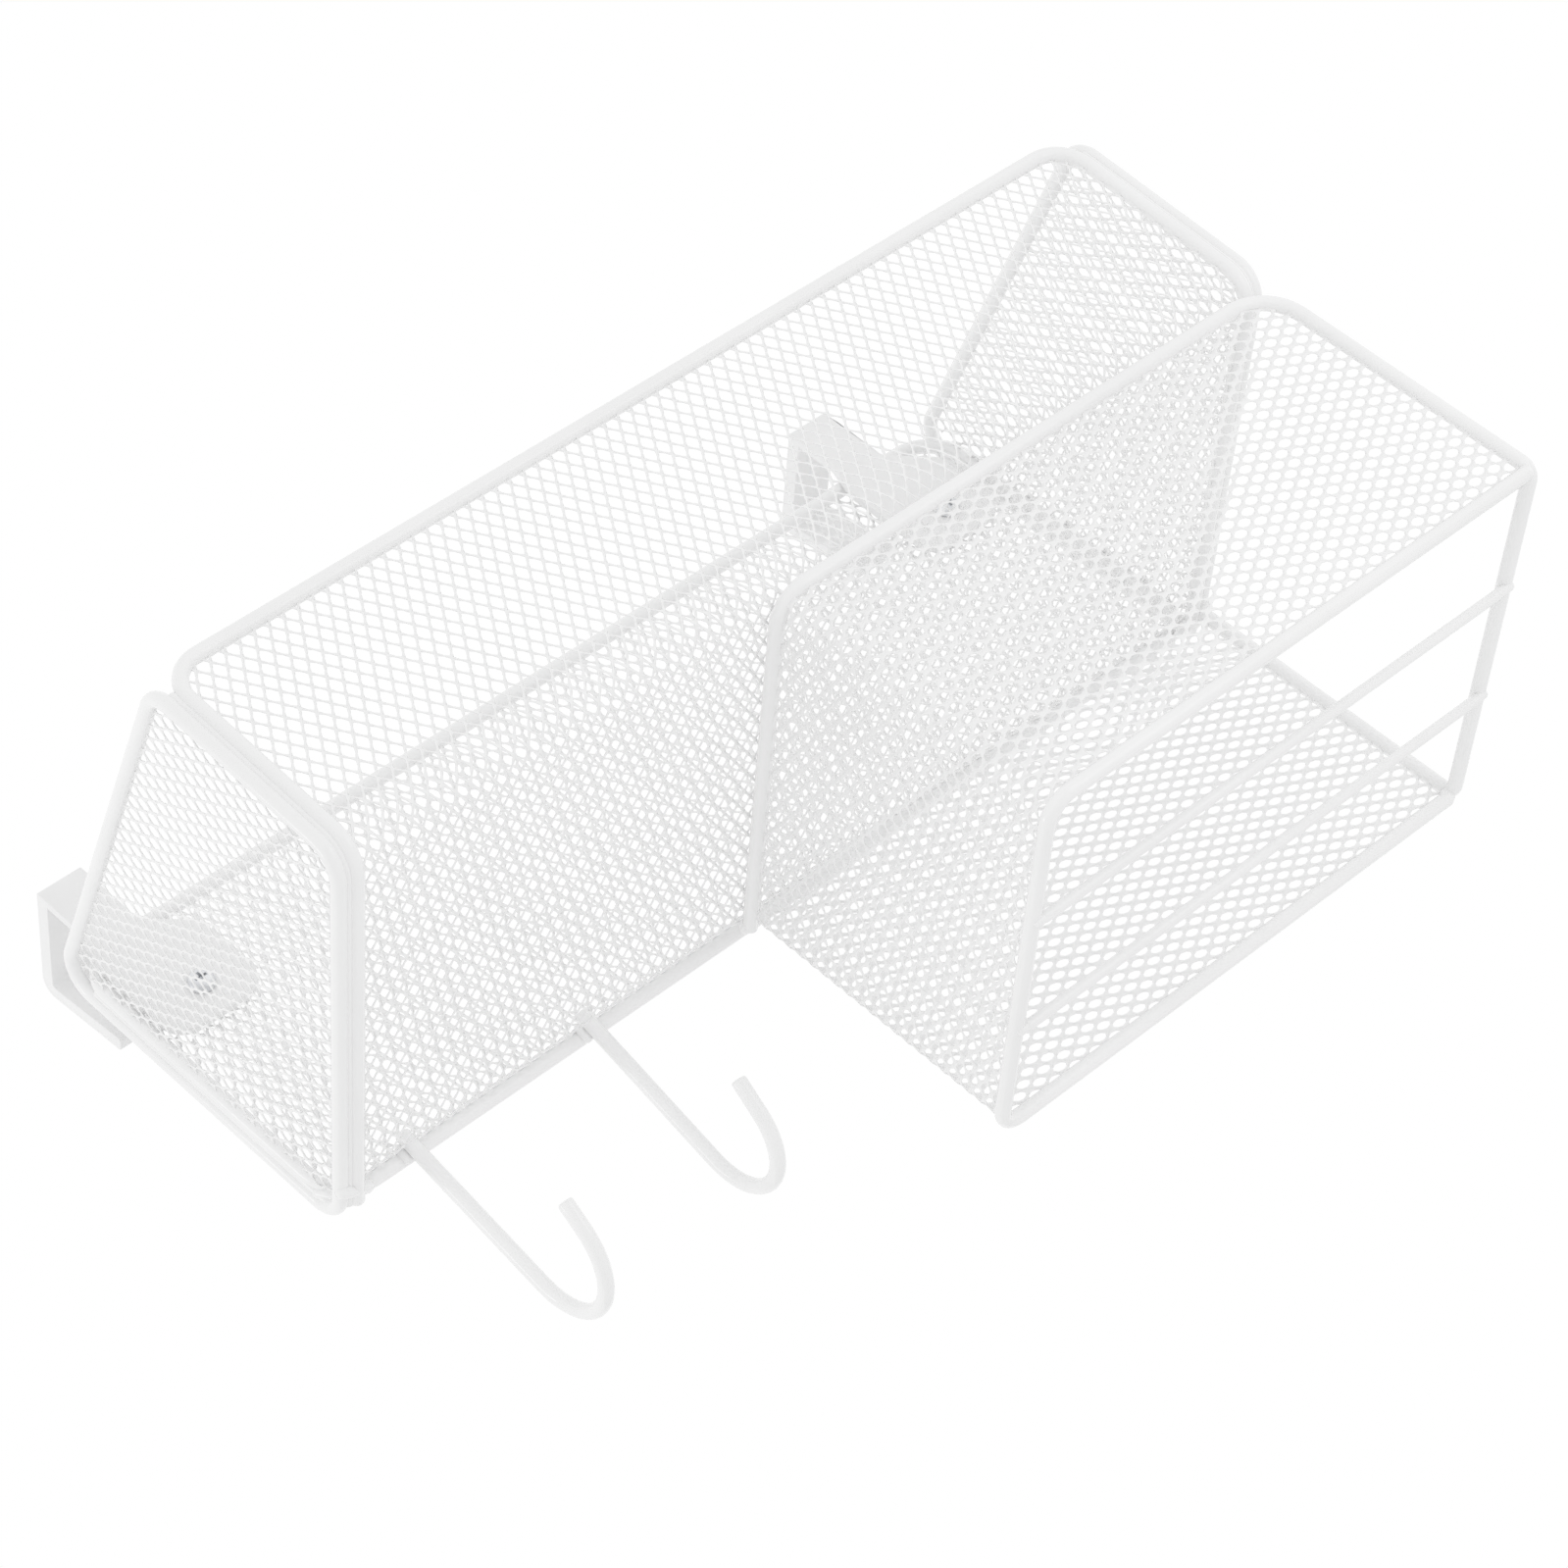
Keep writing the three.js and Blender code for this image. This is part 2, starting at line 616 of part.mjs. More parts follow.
// One sheet for the lower box's front, left end and back, bent at its two left corners
function lowerBoxMeshGeometry() {
  const endX = lowerBoxRight - wireSeat;
  const footZ = -lowerBoxBottom + wireSeat;
  const topZ = rimZ - wireSeat;
  const backTopZ = -frontWireProud - meshThickness / 2 - weldGap;
  const corners = [
    new THREE.Vector2(endX, lowerBoxFront),
    new THREE.Vector2(lowerBoxLeft, lowerBoxFront),
    new THREE.Vector2(lowerBoxLeft, lowerBoxBack),
    new THREE.Vector2(endX, lowerBoxBack),
  ];
  const line = roundAll(corners, lowerFoldRadius, false);
  const strip = stripOutline(line, meshThickness);
  const lift = new THREE.Vector3(0, 0, (footZ + backTopZ) / 2);
  let sheet = toSolid(place(slab(strip, backTopZ - footZ), alongX, alongY, lift));

  const foldEnd = lowerBoxLeft + lowerFoldRadius;
  const overMesh = meshThickness + cutOverrun;
  const aboveRim = boxBetween(
    new THREE.Vector3(lowerBoxLeft - overMesh, lowerBoxFront - overMesh, topZ),
    new THREE.Vector3(endX + cutOverrun, lowerBoxBack - overMesh, backTopZ + cutOverrun),
  );
  const aboveLeftFold = boxBetween(
    new THREE.Vector3(lowerBoxLeft - overMesh, lowerBoxBack - lowerFoldRadius - overMesh, topZ),
    new THREE.Vector3(foldEnd, lowerBoxBack + overMesh, backTopZ + cutOverrun),
  );
  const besideFrontWire = boxBetween(
    new THREE.Vector3(sheetRight, lowerBoxBack - overMesh, topZ),
    new THREE.Vector3(endX + cutOverrun, lowerBoxBack + overMesh, backTopZ + cutOverrun),
  );
  [aboveRim, aboveLeftFold, besideFrontWire].forEach((cut) => {
    sheet = sheet.subtract(toSolid(cut));
  });

  const cornerRadius = Math.max(rimRightBendRadius - wireSeat, 0);
  const keep = rectangle(lowerBoxLeft - overMesh, endX, footZ - cutOverrun, topZ);
  const keepOutline = roundCorners(keep, [0, 0, cornerRadius, 0], true);
  const frontY = new THREE.Vector3(0, lowerBoxFront, 0);
  const frontZone = boxBetween(
    new THREE.Vector3(foldEnd, lowerBoxFront - overMesh, footZ - cutOverrun),
    new THREE.Vector3(endX + cutOverrun, lowerBoxFront + overMesh, topZ + cutOverrun),
  );
  const frontKeep = toSolid(place(slab(keepOutline, 2 * overMesh), alongX, alongZ, frontY));
  const cornerCut = toSolid(frontZone).subtract(frontKeep);
  sheet = sheet.subtract(cornerCut);

  const wideField = rectangle(foldEnd, endX, footZ, topZ);
  const deepField = rectangle(lowerBoxFront + lowerFoldRadius, lowerBoxBack - lowerFoldRadius, footZ, topZ);
  const panels = [
    [wideField, alongX, new THREE.Vector3(0, lowerBoxFront, 0)],
    [deepField, alongY, new THREE.Vector3(lowerBoxLeft, 0, 0)],
    [wideField, alongX, new THREE.Vector3(0, lowerBoxBack, 0)],
  ];
  panels.forEach(([field, across, origin]) => {
    const gaps = netGaps(field, cellWidth, cellLength);
    sheet = sheet.subtract(toSolid(gapPrisms(gaps, across, alongZ, origin)));
  });
  return toGeometry(sheet);
}

// Bracket: a flat plate with a narrow strip, and a thicker web and flange that hook over the rail
function bracketGeometry(stripLeft) {
  const right = stripLeft + stripWidth;
  const plateLeft = stripLeft - plateLeftReach;
  const plateRight = right + plateRightReach;
  const plateOutline = roundCorners(
    [
      new THREE.Vector2(stripLeft, webUndersideZ + webThickness / 2),
      new THREE.Vector2(stripLeft, webTopZ - leftShoulderTop),
      new THREE.Vector2(plateLeft, webTopZ - leftShoulderFoot),
      new THREE.Vector2(plateLeft, webTopZ - plateLength),
      new THREE.Vector2(plateRight, webTopZ - plateLength),
      new THREE.Vector2(plateRight, webTopZ - rightShoulderFoot),
      new THREE.Vector2(right, webTopZ - rightShoulderTop),
      new THREE.Vector2(right, webUndersideZ + webThickness / 2),
    ],
    [0, shoulderRadius, shoulderRadius, plateCornerRadius, plateCornerRadius, shoulderRadius,
      shoulderRadius, 0],
    true,
  );
  const plateMiddle = new THREE.Vector3(0, (plateFrontY + plateRearY) / 2, 0);
  const plate = toSolid(place(slab(plateOutline, plateThickness), alongX, alongZ, plateMiddle));

  const flangeOuterY = plateFrontY + bracketDepth;
  const flangeInnerY = flangeOuterY - flangeThickness;
  const flangeFootZ = webTopZ - flangeLength;
  const hookOutline = roundCorners(
    [
      new THREE.Vector2(plateFrontY, webUndersideZ - webInnerRadius),
      new THREE.Vector2(plateRearY, webUndersideZ - webInnerRadius),
      new THREE.Vector2(plateRearY, webUndersideZ),
      new THREE.Vector2(flangeInnerY, webUndersideZ),
      new THREE.Vector2(flangeInnerY - flangeLean, flangeFootZ),
      new THREE.Vector2(flangeOuterY - flangeLean, flangeFootZ),
      new THREE.Vector2(flangeOuterY, webTopZ),
      new THREE.Vector2(plateFrontY, webTopZ),
    ],
    [0, 0, 0, webInnerRadius, 0, 0, webBendRadius, 0],
    true,
  );
  const stripMiddle = new THREE.Vector3(stripLeft + stripWidth / 2, 0, 0);
  const hook = toSolid(place(slab(hookOutline, stripWidth), alongY, alongZ, stripMiddle));

  const screw = screwPoint(stripLeft);
  const bossEndY = backMeshFrontY - weldGap;
  const boss = roundAlongY(bossDiameter / 2, screw.x, screw.y, plateFrontY + plateThickness / 2, bossEndY);
  const boreFromY = plateFrontY - cutOverrun;
  const hole = roundAlongY(screwHoleRadius, screw.x, screw.y, boreFromY, bossEndY + cutOverrun);
  return toGeometry(plate.add(hook).add(toSolid(boss)).subtract(toSolid(hole)));
}

const washerFrontY = backMeshRearY + weldGap;
const washerRearY = washerFrontY + washerThickness;
const nutFrontY = washerRearY + weldGap;
const nutRearY = nutFrontY + nutThickness;

// Pan head and shank in one turned shape, its axis along +Y
function screwGeometry(stripLeft) {
  const headRearY = plateFrontY - weldGap;
  const headFrontY = headRearY - screwHeadHeight;
  const headRadius = screwHeadDiameter / 2;
  const profile = [
    new THREE.Vector2(0, headFrontY),
    new THREE.Vector2(headRadius / 2, headFrontY),
    new THREE.Vector2(headRadius, headFrontY + screwHeadHeight / 2),
    new THREE.Vector2(headRadius, headRearY),
    new THREE.Vector2(screwDiameter / 2, headRearY),
    new THREE.Vector2(screwDiameter / 2, nutRearY + screwTailLength),
    new THREE.Vector2(0, nutRearY + screwTailLength),
  ];
  const screw = screwPoint(stripLeft);
  return new THREE.LatheGeometry(profile, roundSides).translate(screw.x, 0, screw.y);
}

function washerGeometry(stripLeft) {
  const screw = screwPoint(stripLeft);
  const disc = toSolid(roundAlongY(washerDiameter / 2, screw.x, screw.y, washerFrontY, washerRearY));
  const fromY = washerFrontY - cutOverrun;
  const toY = washerRearY + cutOverrun;
  const hole = toSolid(roundAlongY(screwHoleRadius, screw.x, screw.y, fromY, toY));
  return toGeometry(disc.subtract(hole));
}

function nutGeometry(stripLeft) {
  const screw = screwPoint(stripLeft);
  const hexSides = 6;
  const cornerRadius = nutAcrossFlats / 2 / Math.cos(Math.PI / hexSides);
  const outer = new THREE.CylinderGeometry(cornerRadius, cornerRadius, nutThickness, hexSides);
  outer.translate(screw.x, (nutFrontY + nutRearY) / 2, screw.y);
  const hole = roundAlongY(screwHoleRadius, screw.x, screw.y, nutFrontY - cutOverrun, nutRearY + cutOverrun);
  return toGeometry(toSolid(outer).subtract(toSolid(hole)));
}

addPaintedSteel('left_side_frame', sideFrameGeometry(0));
addPaintedSteel('right_side_frame', sideFrameGeometry(basketLength));
addPaintedSteel('front_frame_wire', frontFrameGeometry());
addPaintedSteel('back_frame', backFrameGeometry());
addPaintedSteel('left_side_mesh', sideMeshGeometry(0));
addPaintedSteel('right_side_mesh', sideMeshGeometry(basketLength));
addPaintedSteel('front_bottom_mesh', frontBottomMeshGeometry());
addPaintedSteel('back_mesh', backMeshGeometry());
addPaintedSteel('lower_box_rim_wire', rimWireGeometry());
addPaintedSteel('lower_box_end_wire', endWireGeometry());
addPaintedSteel('lower_box_mesh', lowerBoxMeshGeometry());
addPaintedSteel('lower_box_front_bar', barGeometry(1));
addPaintedSteel('lower_box_rear_bar', barGeometry(2));
addPaintedSteel('left_hook', hookGeometry(
  leftHookPlace, leftHookLean, leftHookLegLength, leftHookCurlRadius, leftHookTipLength,
));
addPaintedSteel('right_hook', hookGeometry(
  rightHookPlace, rightHookLean, rightHookLegLength, rightHookCurlRadius, rightHookTipLength,
));
[['left', leftBracketPlace], ['right', rightBracketPlace]].forEach(([side, stripLeft]) => {
  addPlastic(`${side}_bracket`, bracketGeometry(stripLeft));
  addZinc(`${side}_bracket_screw`, screwGeometry(stripLeft));
  addZinc(`${side}_bracket_washer`, washerGeometry(stripLeft));
  addZinc(`${side}_bracket_nut`, nutGeometry(stripLeft));
});

const group = new THREE.Group();
group.add(basket);

export default group;
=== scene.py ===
"""Dressed model of the hanging metal basket: smooth welded wires, fine expanded mesh, moulded brackets.

Sizes are millimetres in the basket's own frame, as in the part's source: x from the left side frame's
wire, y from the front bottom corner, z from the bottom wires. mesh_object() and to_row() turn them into
metres in the row frame.
"""
import math
from collections import namedtuple

import bmesh
import bpy
import numpy as np
from mathutils import Matrix, Vector


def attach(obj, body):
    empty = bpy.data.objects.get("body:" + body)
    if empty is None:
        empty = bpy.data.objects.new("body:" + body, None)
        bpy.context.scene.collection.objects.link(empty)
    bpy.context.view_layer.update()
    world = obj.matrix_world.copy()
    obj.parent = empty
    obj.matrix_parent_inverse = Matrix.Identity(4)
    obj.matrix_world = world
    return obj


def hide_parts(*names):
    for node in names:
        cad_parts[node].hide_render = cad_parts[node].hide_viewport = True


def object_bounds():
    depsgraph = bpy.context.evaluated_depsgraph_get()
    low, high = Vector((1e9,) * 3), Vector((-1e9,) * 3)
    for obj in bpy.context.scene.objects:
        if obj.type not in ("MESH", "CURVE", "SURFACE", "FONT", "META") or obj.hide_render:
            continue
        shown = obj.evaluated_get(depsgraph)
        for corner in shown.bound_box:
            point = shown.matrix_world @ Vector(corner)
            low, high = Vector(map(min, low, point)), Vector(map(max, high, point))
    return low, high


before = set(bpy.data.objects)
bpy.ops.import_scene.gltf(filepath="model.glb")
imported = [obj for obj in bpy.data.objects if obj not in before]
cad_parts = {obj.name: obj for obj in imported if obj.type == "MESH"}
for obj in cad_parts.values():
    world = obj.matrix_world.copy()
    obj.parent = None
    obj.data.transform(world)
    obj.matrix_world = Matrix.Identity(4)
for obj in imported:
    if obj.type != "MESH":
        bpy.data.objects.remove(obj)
cad_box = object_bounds()

MM = 0.001

# Main basket
BASKET_LENGTH = 340
BASKET_DEPTH = 141.4
FRONT_HEIGHT = 71.3
FRONT_LEAN = 3.9
BACK_HEIGHT = 116.7

# Wires
WIRE_DIAMETER = 4.5
WELD_GAP = 0.3
WIRE_END_EDGE = 0.8
WIRE_SIDES = 20
END_RING_ANGLES = [math.radians(a) for a in (90, 60, 30)]
ARC_STEP = math.radians(6)

SIDE_BEND_RADIUS = 9
FRONT_WIRE_ANGLE = math.radians(14.4)
FRONT_RIM_RISE = 1.9
FRONT_RIM_BEND_RADIUS = 11
FRONT_WIRE_END_SETBACK = 5.8
BACK_WIRE_ANGLE = math.radians(7.2)
BACK_FRAME_RISE = 1.5
BACK_FRAME_DROP = 4.3
BACK_BEND_RADIUS = 14

# Expanded mesh: the long and short way of a cell and of its opening, and how pointed the opening is
Weave = namedtuple("Weave", "cell opening pointedness")
FRONT_WEAVE = Weave(cell=(7.43, 4.86), opening=(5.7, 3.7), pointedness=1.65)
SIDE_WEAVE = Weave(cell=(8.06, 4.65), opening=(5.1, 3.3), pointedness=1.2)
LOWER_WEAVE = Weave(cell=(8.06, 4.65), opening=(4.85, 3.05), pointedness=1.12)
MESH_THICKNESS = 0.55
CAD_MESH_THICKNESS = 1
STRAND_TILT = 0.24
STRAND_ROUNDING = 0.15
OPENING_POINTS = 8
NET_ARC_STEP = math.radians(18)
NET_INSET = 1
NET_MERGE_DIGITS = 3
NET_CUT_TOLERANCE = 1e-4

# Rear edge of the bottom sheet, which climbs on to the back frame between the hooks
SHEET_LAP_SETBACK = 1.34
SHEET_LAP_RISE = 2.5
SHEET_RAMP_LENGTH = 7.8
SHEET_RAMP_RADIUS = 6
NOTCH_CLEARANCE = 0.5
NOTCH_DEPTH = 8.2
SHEET_CORNER_RADIUS = 7

# Lower box
LOWER_BOX_LEFT = 147
LOWER_BOX_END_SETBACK = 1.7
LOWER_BOX_FRONT = 0.5
LOWER_BOX_BACK_SETBACK = 12.4
LOWER_BOX_BOTTOM = 101.8
RIM_LEFT_BEND_RADIUS = 10
RIM_RIGHT_BEND_RADIUS = 14
RIM_FOOT_BEND_RADIUS = 4
END_WIRE_BEND_RADIUS = 8
LOWER_FOLD_RADIUS = 7
BAR_DIAMETER = 3.2
BAR_DROP = 1.8
BOTTOM_BAYS = 3

# Towel hooks
Hook = namedtuple("Hook", "place lean leg_length curl_radius tip_length")
HOOKS = {
    "left_hook": Hook(
        place=25.8, lean=math.radians(10.3), leg_length=53.3, curl_radius=19.9, tip_length=7.8),
    "right_hook": Hook(
        place=90.9, lean=math.radians(13.8), leg_length=51.8, curl_radius=18.3, tip_length=10.3),
}
HOOK_CURL_ANGLE = math.radians(159.4)
HOOK_TOP_RISE = 3.8

# Weld seams between wires that run side by side
SEAM_WIDTH = 3
SEAM_END_BELOW = 5
SEAM_END_ABOVE = 3.5

# Weld beads. A bead's start and end are measured from a point on the wires that it joins
Bead = namedtuple("Bead", "start end radius")
FRONT_WIRE_BEAD = Bead(start=(-0.8, -7.8, -1.8), end=(8.5, -1.8, -0.8), radius=2)
RIM_LEFT_BEAD = Bead(start=(-1.2, -0.2, 0.6), end=(1.2, 1, 1.2), radius=2)
END_WIRE_BEAD = Bead(start=(-0.6, 0, 0), end=(0.8, 0.6, 0.6), radius=2.3)
BACK_CORNER_BEAD_INSET = 2.8
BACK_CORNER_BEAD_RISE = 2.6
BACK_CORNER_BEAD_RADIUS = 1.9
RIM_RIGHT_BEAD_LAP = 0.7
RIM_RIGHT_BEAD_SHIFT = 0.2
RIM_RIGHT_BEAD_TOP = -2.6
RIM_RIGHT_BEAD_RADIUS = 2.2
BAR_BEAD_RADIUS = 1.45

# Beads at a hook's top: how far they reach up and down, and each one's place across and radius
HOOK_BEAD_REACH = 1.8
HOOK_BEADS = ((-2.5, 1.4), (2.2, 1.1))

# Brackets. A shoulder's top and foot are depths below the web's top
LEFT_BRACKET_PLACE = 6.6
RIGHT_BRACKET_SETBACK = 23.3
STRIP_WIDTH = 15.6
WEB_RISE = 20.8
WEB_THICKNESS = 4.6
BRACKET_DEPTH = 40.3
FLANGE_THICKNESS = 4.6
FLANGE_LENGTH = 35.2
FLANGE_LEAN = 3.7
FLANGE_TIP_RADIUS = 1
WEB_BEND_RADIUS = 5
WEB_INNER_RADIUS = 1.5
PLATE_THICKNESS = 2.5
PLATE_LENGTH = 67.2
PLATE_LEFT_REACH = 4
PLATE_RIGHT_REACH = 12.8
Shoulder = namedtuple("Shoulder", "top foot")
LEFT_SHOULDER = Shoulder(top=19.5, foot=31.5)
RIGHT_SHOULDER = Shoulder(top=25.5, foot=37.5)
SHOULDER_RADIUS = 3
PLATE_CORNER_RADIUS = 8
MOULDED_EDGE = 0.45
EDGE_SEGMENTS = 3
LEAST_EDGE_ANGLE = math.radians(35)

# Bracket screws and what they clamp with
SCREW_DIAMETER = 4
SCREW_CLEARANCE = 0.3
SCREW_PLACE = 13.4
SCREW_DROP = 55.7
SCREW_HEAD_DIAMETER = 8
SCREW_HEAD_HEIGHT = 2.6
SCREW_TAIL_LENGTH = 1
BOSS_DIAMETER = 10
WASHER_DIAMETER = 16
WASHER_THICKNESS = 1.2
NUT_ACROSS_FLATS = 7
NUT_THICKNESS = 3.2
TURNED_SIDES = 48
NUT_SIDES = 72
TURNED_EDGE = 0.2
PAN_STEPS = 8
PAN_POINTEDNESS = 0.7
RECESS_LENGTH = 4.4
RECESS_WIDTH = 0.9
RECESS_DEPTH = 1.5

# Edges that turn by more than this are drawn sharp
WIRE_CREASE = math.radians(40)
NET_CREASE = math.radians(50)
MOULDED_CREASE = math.radians(28)
TURNED_CREASE = math.radians(35)
NUT_CREASE = math.radians(25)

# Worked out from the sizes above
WIRE_RADIUS = WIRE_DIAMETER / 2
WIRE_SPACING = WIRE_DIAMETER + WELD_GAP
WIRE_SEAT = WIRE_RADIUS + WELD_GAP
LOWER_BOX_RIGHT = BASKET_LENGTH - LOWER_BOX_END_SETBACK
LOWER_BOX_BACK = BASKET_DEPTH - LOWER_BOX_BACK_SETBACK
RIGHT_BRACKET_PLACE = BASKET_LENGTH - RIGHT_BRACKET_SETBACK - STRIP_WIDTH
FRONT_WIRE_INSET = WIRE_SPACING * math.cos(FRONT_WIRE_ANGLE)
FRONT_WIRE_PROUD = WIRE_SPACING * math.sin(FRONT_WIRE_ANGLE)
FRONT_WIRE_RIGHT = BASKET_LENGTH - FRONT_WIRE_INSET
FRONT_WIRE_END_Y = BASKET_DEPTH - FRONT_WIRE_END_SETBACK
BACK_FRAME_INSET = WIRE_SPACING * math.sin(BACK_WIRE_ANGLE)
BACK_FRAME_Y = BASKET_DEPTH - WIRE_SPACING * math.cos(BACK_WIRE_ANGLE)
BACK_FRAME_TOP = BACK_HEIGHT - BACK_FRAME_DROP
RIM_Z = -FRONT_WIRE_PROUD - CAD_MESH_THICKNESS / 2 - WIRE_SEAT
RIM_RIGHT_END_Z = -FRONT_WIRE_PROUD - WIRE_SEAT
PLATE_REAR_Y = BACK_FRAME_Y - WIRE_SEAT
PLATE_FRONT_Y = PLATE_REAR_Y - PLATE_THICKNESS
BOSS_END_Y = BACK_FRAME_Y - CAD_MESH_THICKNESS / 2 - WELD_GAP
WASHER_FRONT_Y = BACK_FRAME_Y + CAD_MESH_THICKNESS / 2 + WELD_GAP
WASHER_REAR_Y = WASHER_FRONT_Y + WASHER_THICKNESS
NUT_FRONT_Y = WASHER_REAR_Y + WELD_GAP
NUT_REAR_Y = NUT_FRONT_Y + NUT_THICKNESS
SCREW_HOLE_RADIUS = SCREW_DIAMETER / 2 + SCREW_CLEARANCE
WEB_TOP_Z = BACK_HEIGHT + WEB_RISE
WEB_UNDERSIDE_Z = WEB_TOP_Z - WEB_THICKNESS
RAIL_CENTRE = Vector((
    (LEFT_BRACKET_PLACE + RIGHT_BRACKET_PLACE + STRIP_WIDTH) / 2,
    (BASKET_DEPTH + WIRE_RADIUS + PLATE_FRONT_Y + BRACKET_DEPTH - FLANGE_THICKNESS) / 2,
    WEB_UNDERSIDE_Z,
))

# Axes, and the front panel's plane in Y and Z
X_AXIS, Y_AXIS, Z_AXIS = Vector((1, 0, 0)), Vector((0, 1, 0)), Vector((0, 0, 1))
FRONT_UP = Vector((-FRONT_LEAN, FRONT_HEIGHT)).normalized()
FRONT_FOOT = Vector((-FRONT_UP.y, FRONT_UP.x)) * FRONT_WIRE_PROUD

# Camera of the photograph, in the basket's frame
CAMERA_PLACE = Vector((-509.07, -853.67, -598.68))
CAMERA_RIGHT = Vector((0.71387, -0.06446, -0.69731))
CAMERA_UP = Vector((0.4737, -0.68892, 0.54864))
CAMERA_VIEW = Vector((0.51575, 0.72197, 0.46126))
FOCAL_LENGTH_PIXELS = 4810.3
PHOTO_WIDTH_PIXELS = 1599
SENSOR_WIDTH = 36

# Studio, in metres and watts: the world's strength as light, and the floor's tone as light and as seen
WORLD_LIGHT = 0.87
RAIL_HEIGHT = 2
FLOOR_WIDTH = 12
FLOOR_LIT = 0.96
FLOOR_SEEN = 0.8
FLOOR_ROUGHNESS = 0.9
CAMERA_NEAR = 0.05
CAMERA_FAR = 50
KEY_LAMP = {"place": (0.3, -0.6, -0.4), "width": 0.4, "height": 0.4, "watts": 0.32}
STRIP_LAMP = {"place": (-1, 0.15, 0.32), "width": 0.06, "height": 0.35, "watts": 0.5}


def to_row(point):
    """A point of the basket's frame, in millimetres, as metres in the row frame."""
    return (Vector(point) - RAIL_CENTRE) * MM


Noise = namedtuple("Noise", "width detail")
GLOSS_LEVELS = (0.3, 0.7)


def grey(level):
    """Colour with the same level in all three channels."""
    return level, level, level


def surface(name, tone, levels, tones, gloss, roughness, grain, grain_height, metallic=0):
    """Material that varies in tone and in roughness, with a fine grain of grain_height millimetres.

    tone, gloss and grain are noises, with features about as wide as they say in millimetres. levels are the
    two levels of the tone's noise between which the first of the tones turns into the second, and
    GLOSS_LEVELS are those of the gloss.
    """
    made = bpy.data.materials.new(name)
    made.use_nodes = True
    nodes, links = made.node_tree.nodes, made.node_tree.links
    shader = next(n for n in nodes if n.type == "BSDF_PRINCIPLED")
    shader.inputs["Metallic"].default_value = metallic
    coordinates = nodes.new("ShaderNodeTexCoord")

    def texture(noise):
        """Output of a noise texture."""
        node = nodes.new("ShaderNodeTexNoise")
        node.inputs["Scale"].default_value = 1 / (noise.width * MM)
        node.inputs["Detail"].default_value = noise.detail
        links.new(coordinates.outputs["Object"], node.inputs["Vector"])
        return node.outputs["Fac"]

    def vary(socket, noise, stops):
        """Feeds a socket from a noise, through a ramp of two (level, colour) stops."""
        ramp = nodes.new("ShaderNodeValToRGB")
        for element, (level, colour) in zip(ramp.color_ramp.elements, stops):
            element.position = level
            element.color = (*colour, 1)
        links.new(texture(noise), ramp.inputs["Fac"])
        links.new(ramp.outputs["Color"], shader.inputs[socket])

    vary("Base Color", tone, zip(levels, tones))
    vary("Roughness", gloss, zip(GLOSS_LEVELS, map(grey, roughness)))
    bump = nodes.new("ShaderNodeBump")
    bump.inputs["Strength"].default_value = 1
    bump.inputs["Distance"].default_value = grain_height * MM
    links.new(texture(grain), bump.inputs["Height"])
    links.new(bump.outputs["Normal"], shader.inputs["Normal"])
    return made


def powder_coat():
    """White baked powder coat: semi-gloss, with a fine orange peel and faint changes of tone."""
    return surface(
        "white_powder_coat", tone=Noise(40, 3), levels=(0.35, 0.65), tones=(grey(0.95), grey(0.97)),
        gloss=Noise(6, 3), roughness=(0.13, 0.19), grain=Noise(2, 1), grain_height=0.012)


def moulded_plastic():
    """White moulded plastic: satin, with a very fine grain."""
    return surface(
        "white_moulded_plastic", tone=Noise(25, 2), levels=(0.35, 0.65), tones=(grey(0.93), grey(0.95)),
        gloss=Noise(3, 2), roughness=(0.42, 0.52), grain=Noise(0.5, 2), grain_height=0.008)


def zinc_plate():
    """Bright zinc plating on the fasteners."""
    return surface(
        "zinc_plate", tone=Noise(3, 3), levels=(0.3, 0.7), tones=((0.74, 0.75, 0.77), (0.84, 0.85, 0.86)),
        gloss=Noise(0.8, 2), roughness=(0.32, 0.44), grain=Noise(0.3, 1), grain_height=0.004, metallic=1)


POWDER_COAT = powder_coat()
MOULDED_PLASTIC = moulded_plastic()
ZINC_PLATE = zinc_plate()


def mesh_object(name, points, faces):
    """Object from points in the basket's frame."""
    mesh = bpy.data.meshes.new(name)
    place = (np.asarray(points, dtype=float) - np.array(RAIL_CENTRE)) * MM
    mesh.from_pydata(place.tolist(), [], faces)
    piece = bpy.data.objects.new(name, mesh)
    bpy.context.scene.collection.objects.link(piece)
    return piece


def apply_modifiers(piece):
    """Puts the mesh that a piece's modifiers make in the place of its own."""
    graph = bpy.context.evaluated_depsgraph_get()
    plain = piece.data
    piece.data = bpy.data.meshes.new_from_object(piece.evaluated_get(graph))
    piece.modifiers.clear()
    bpy.data.meshes.remove(plain)


def combine(piece, tool, operation):
    """Joins or cuts a closed piece by another one, which is used up."""
    modifier = piece.modifiers.new("combine", "BOOLEAN")
    modifier.operation = operation
    modifier.solver = "EXACT"
    modifier.object = tool
    apply_modifiers(piece)
    bpy.data.objects.remove(tool)


def soften_edges(piece, width):
    """Rounds the edges of a piece that turn by more than LEAST_EDGE_ANGLE."""
    modifier = piece.modifiers.new("edges", "BEVEL")
    modifier.width = width * MM
    modifier.segments = EDGE_SEGMENTS
    modifier.limit_method = "ANGLE"
    modifier.angle_limit = LEAST_EDGE_ANGLE
    apply_modifiers(piece)


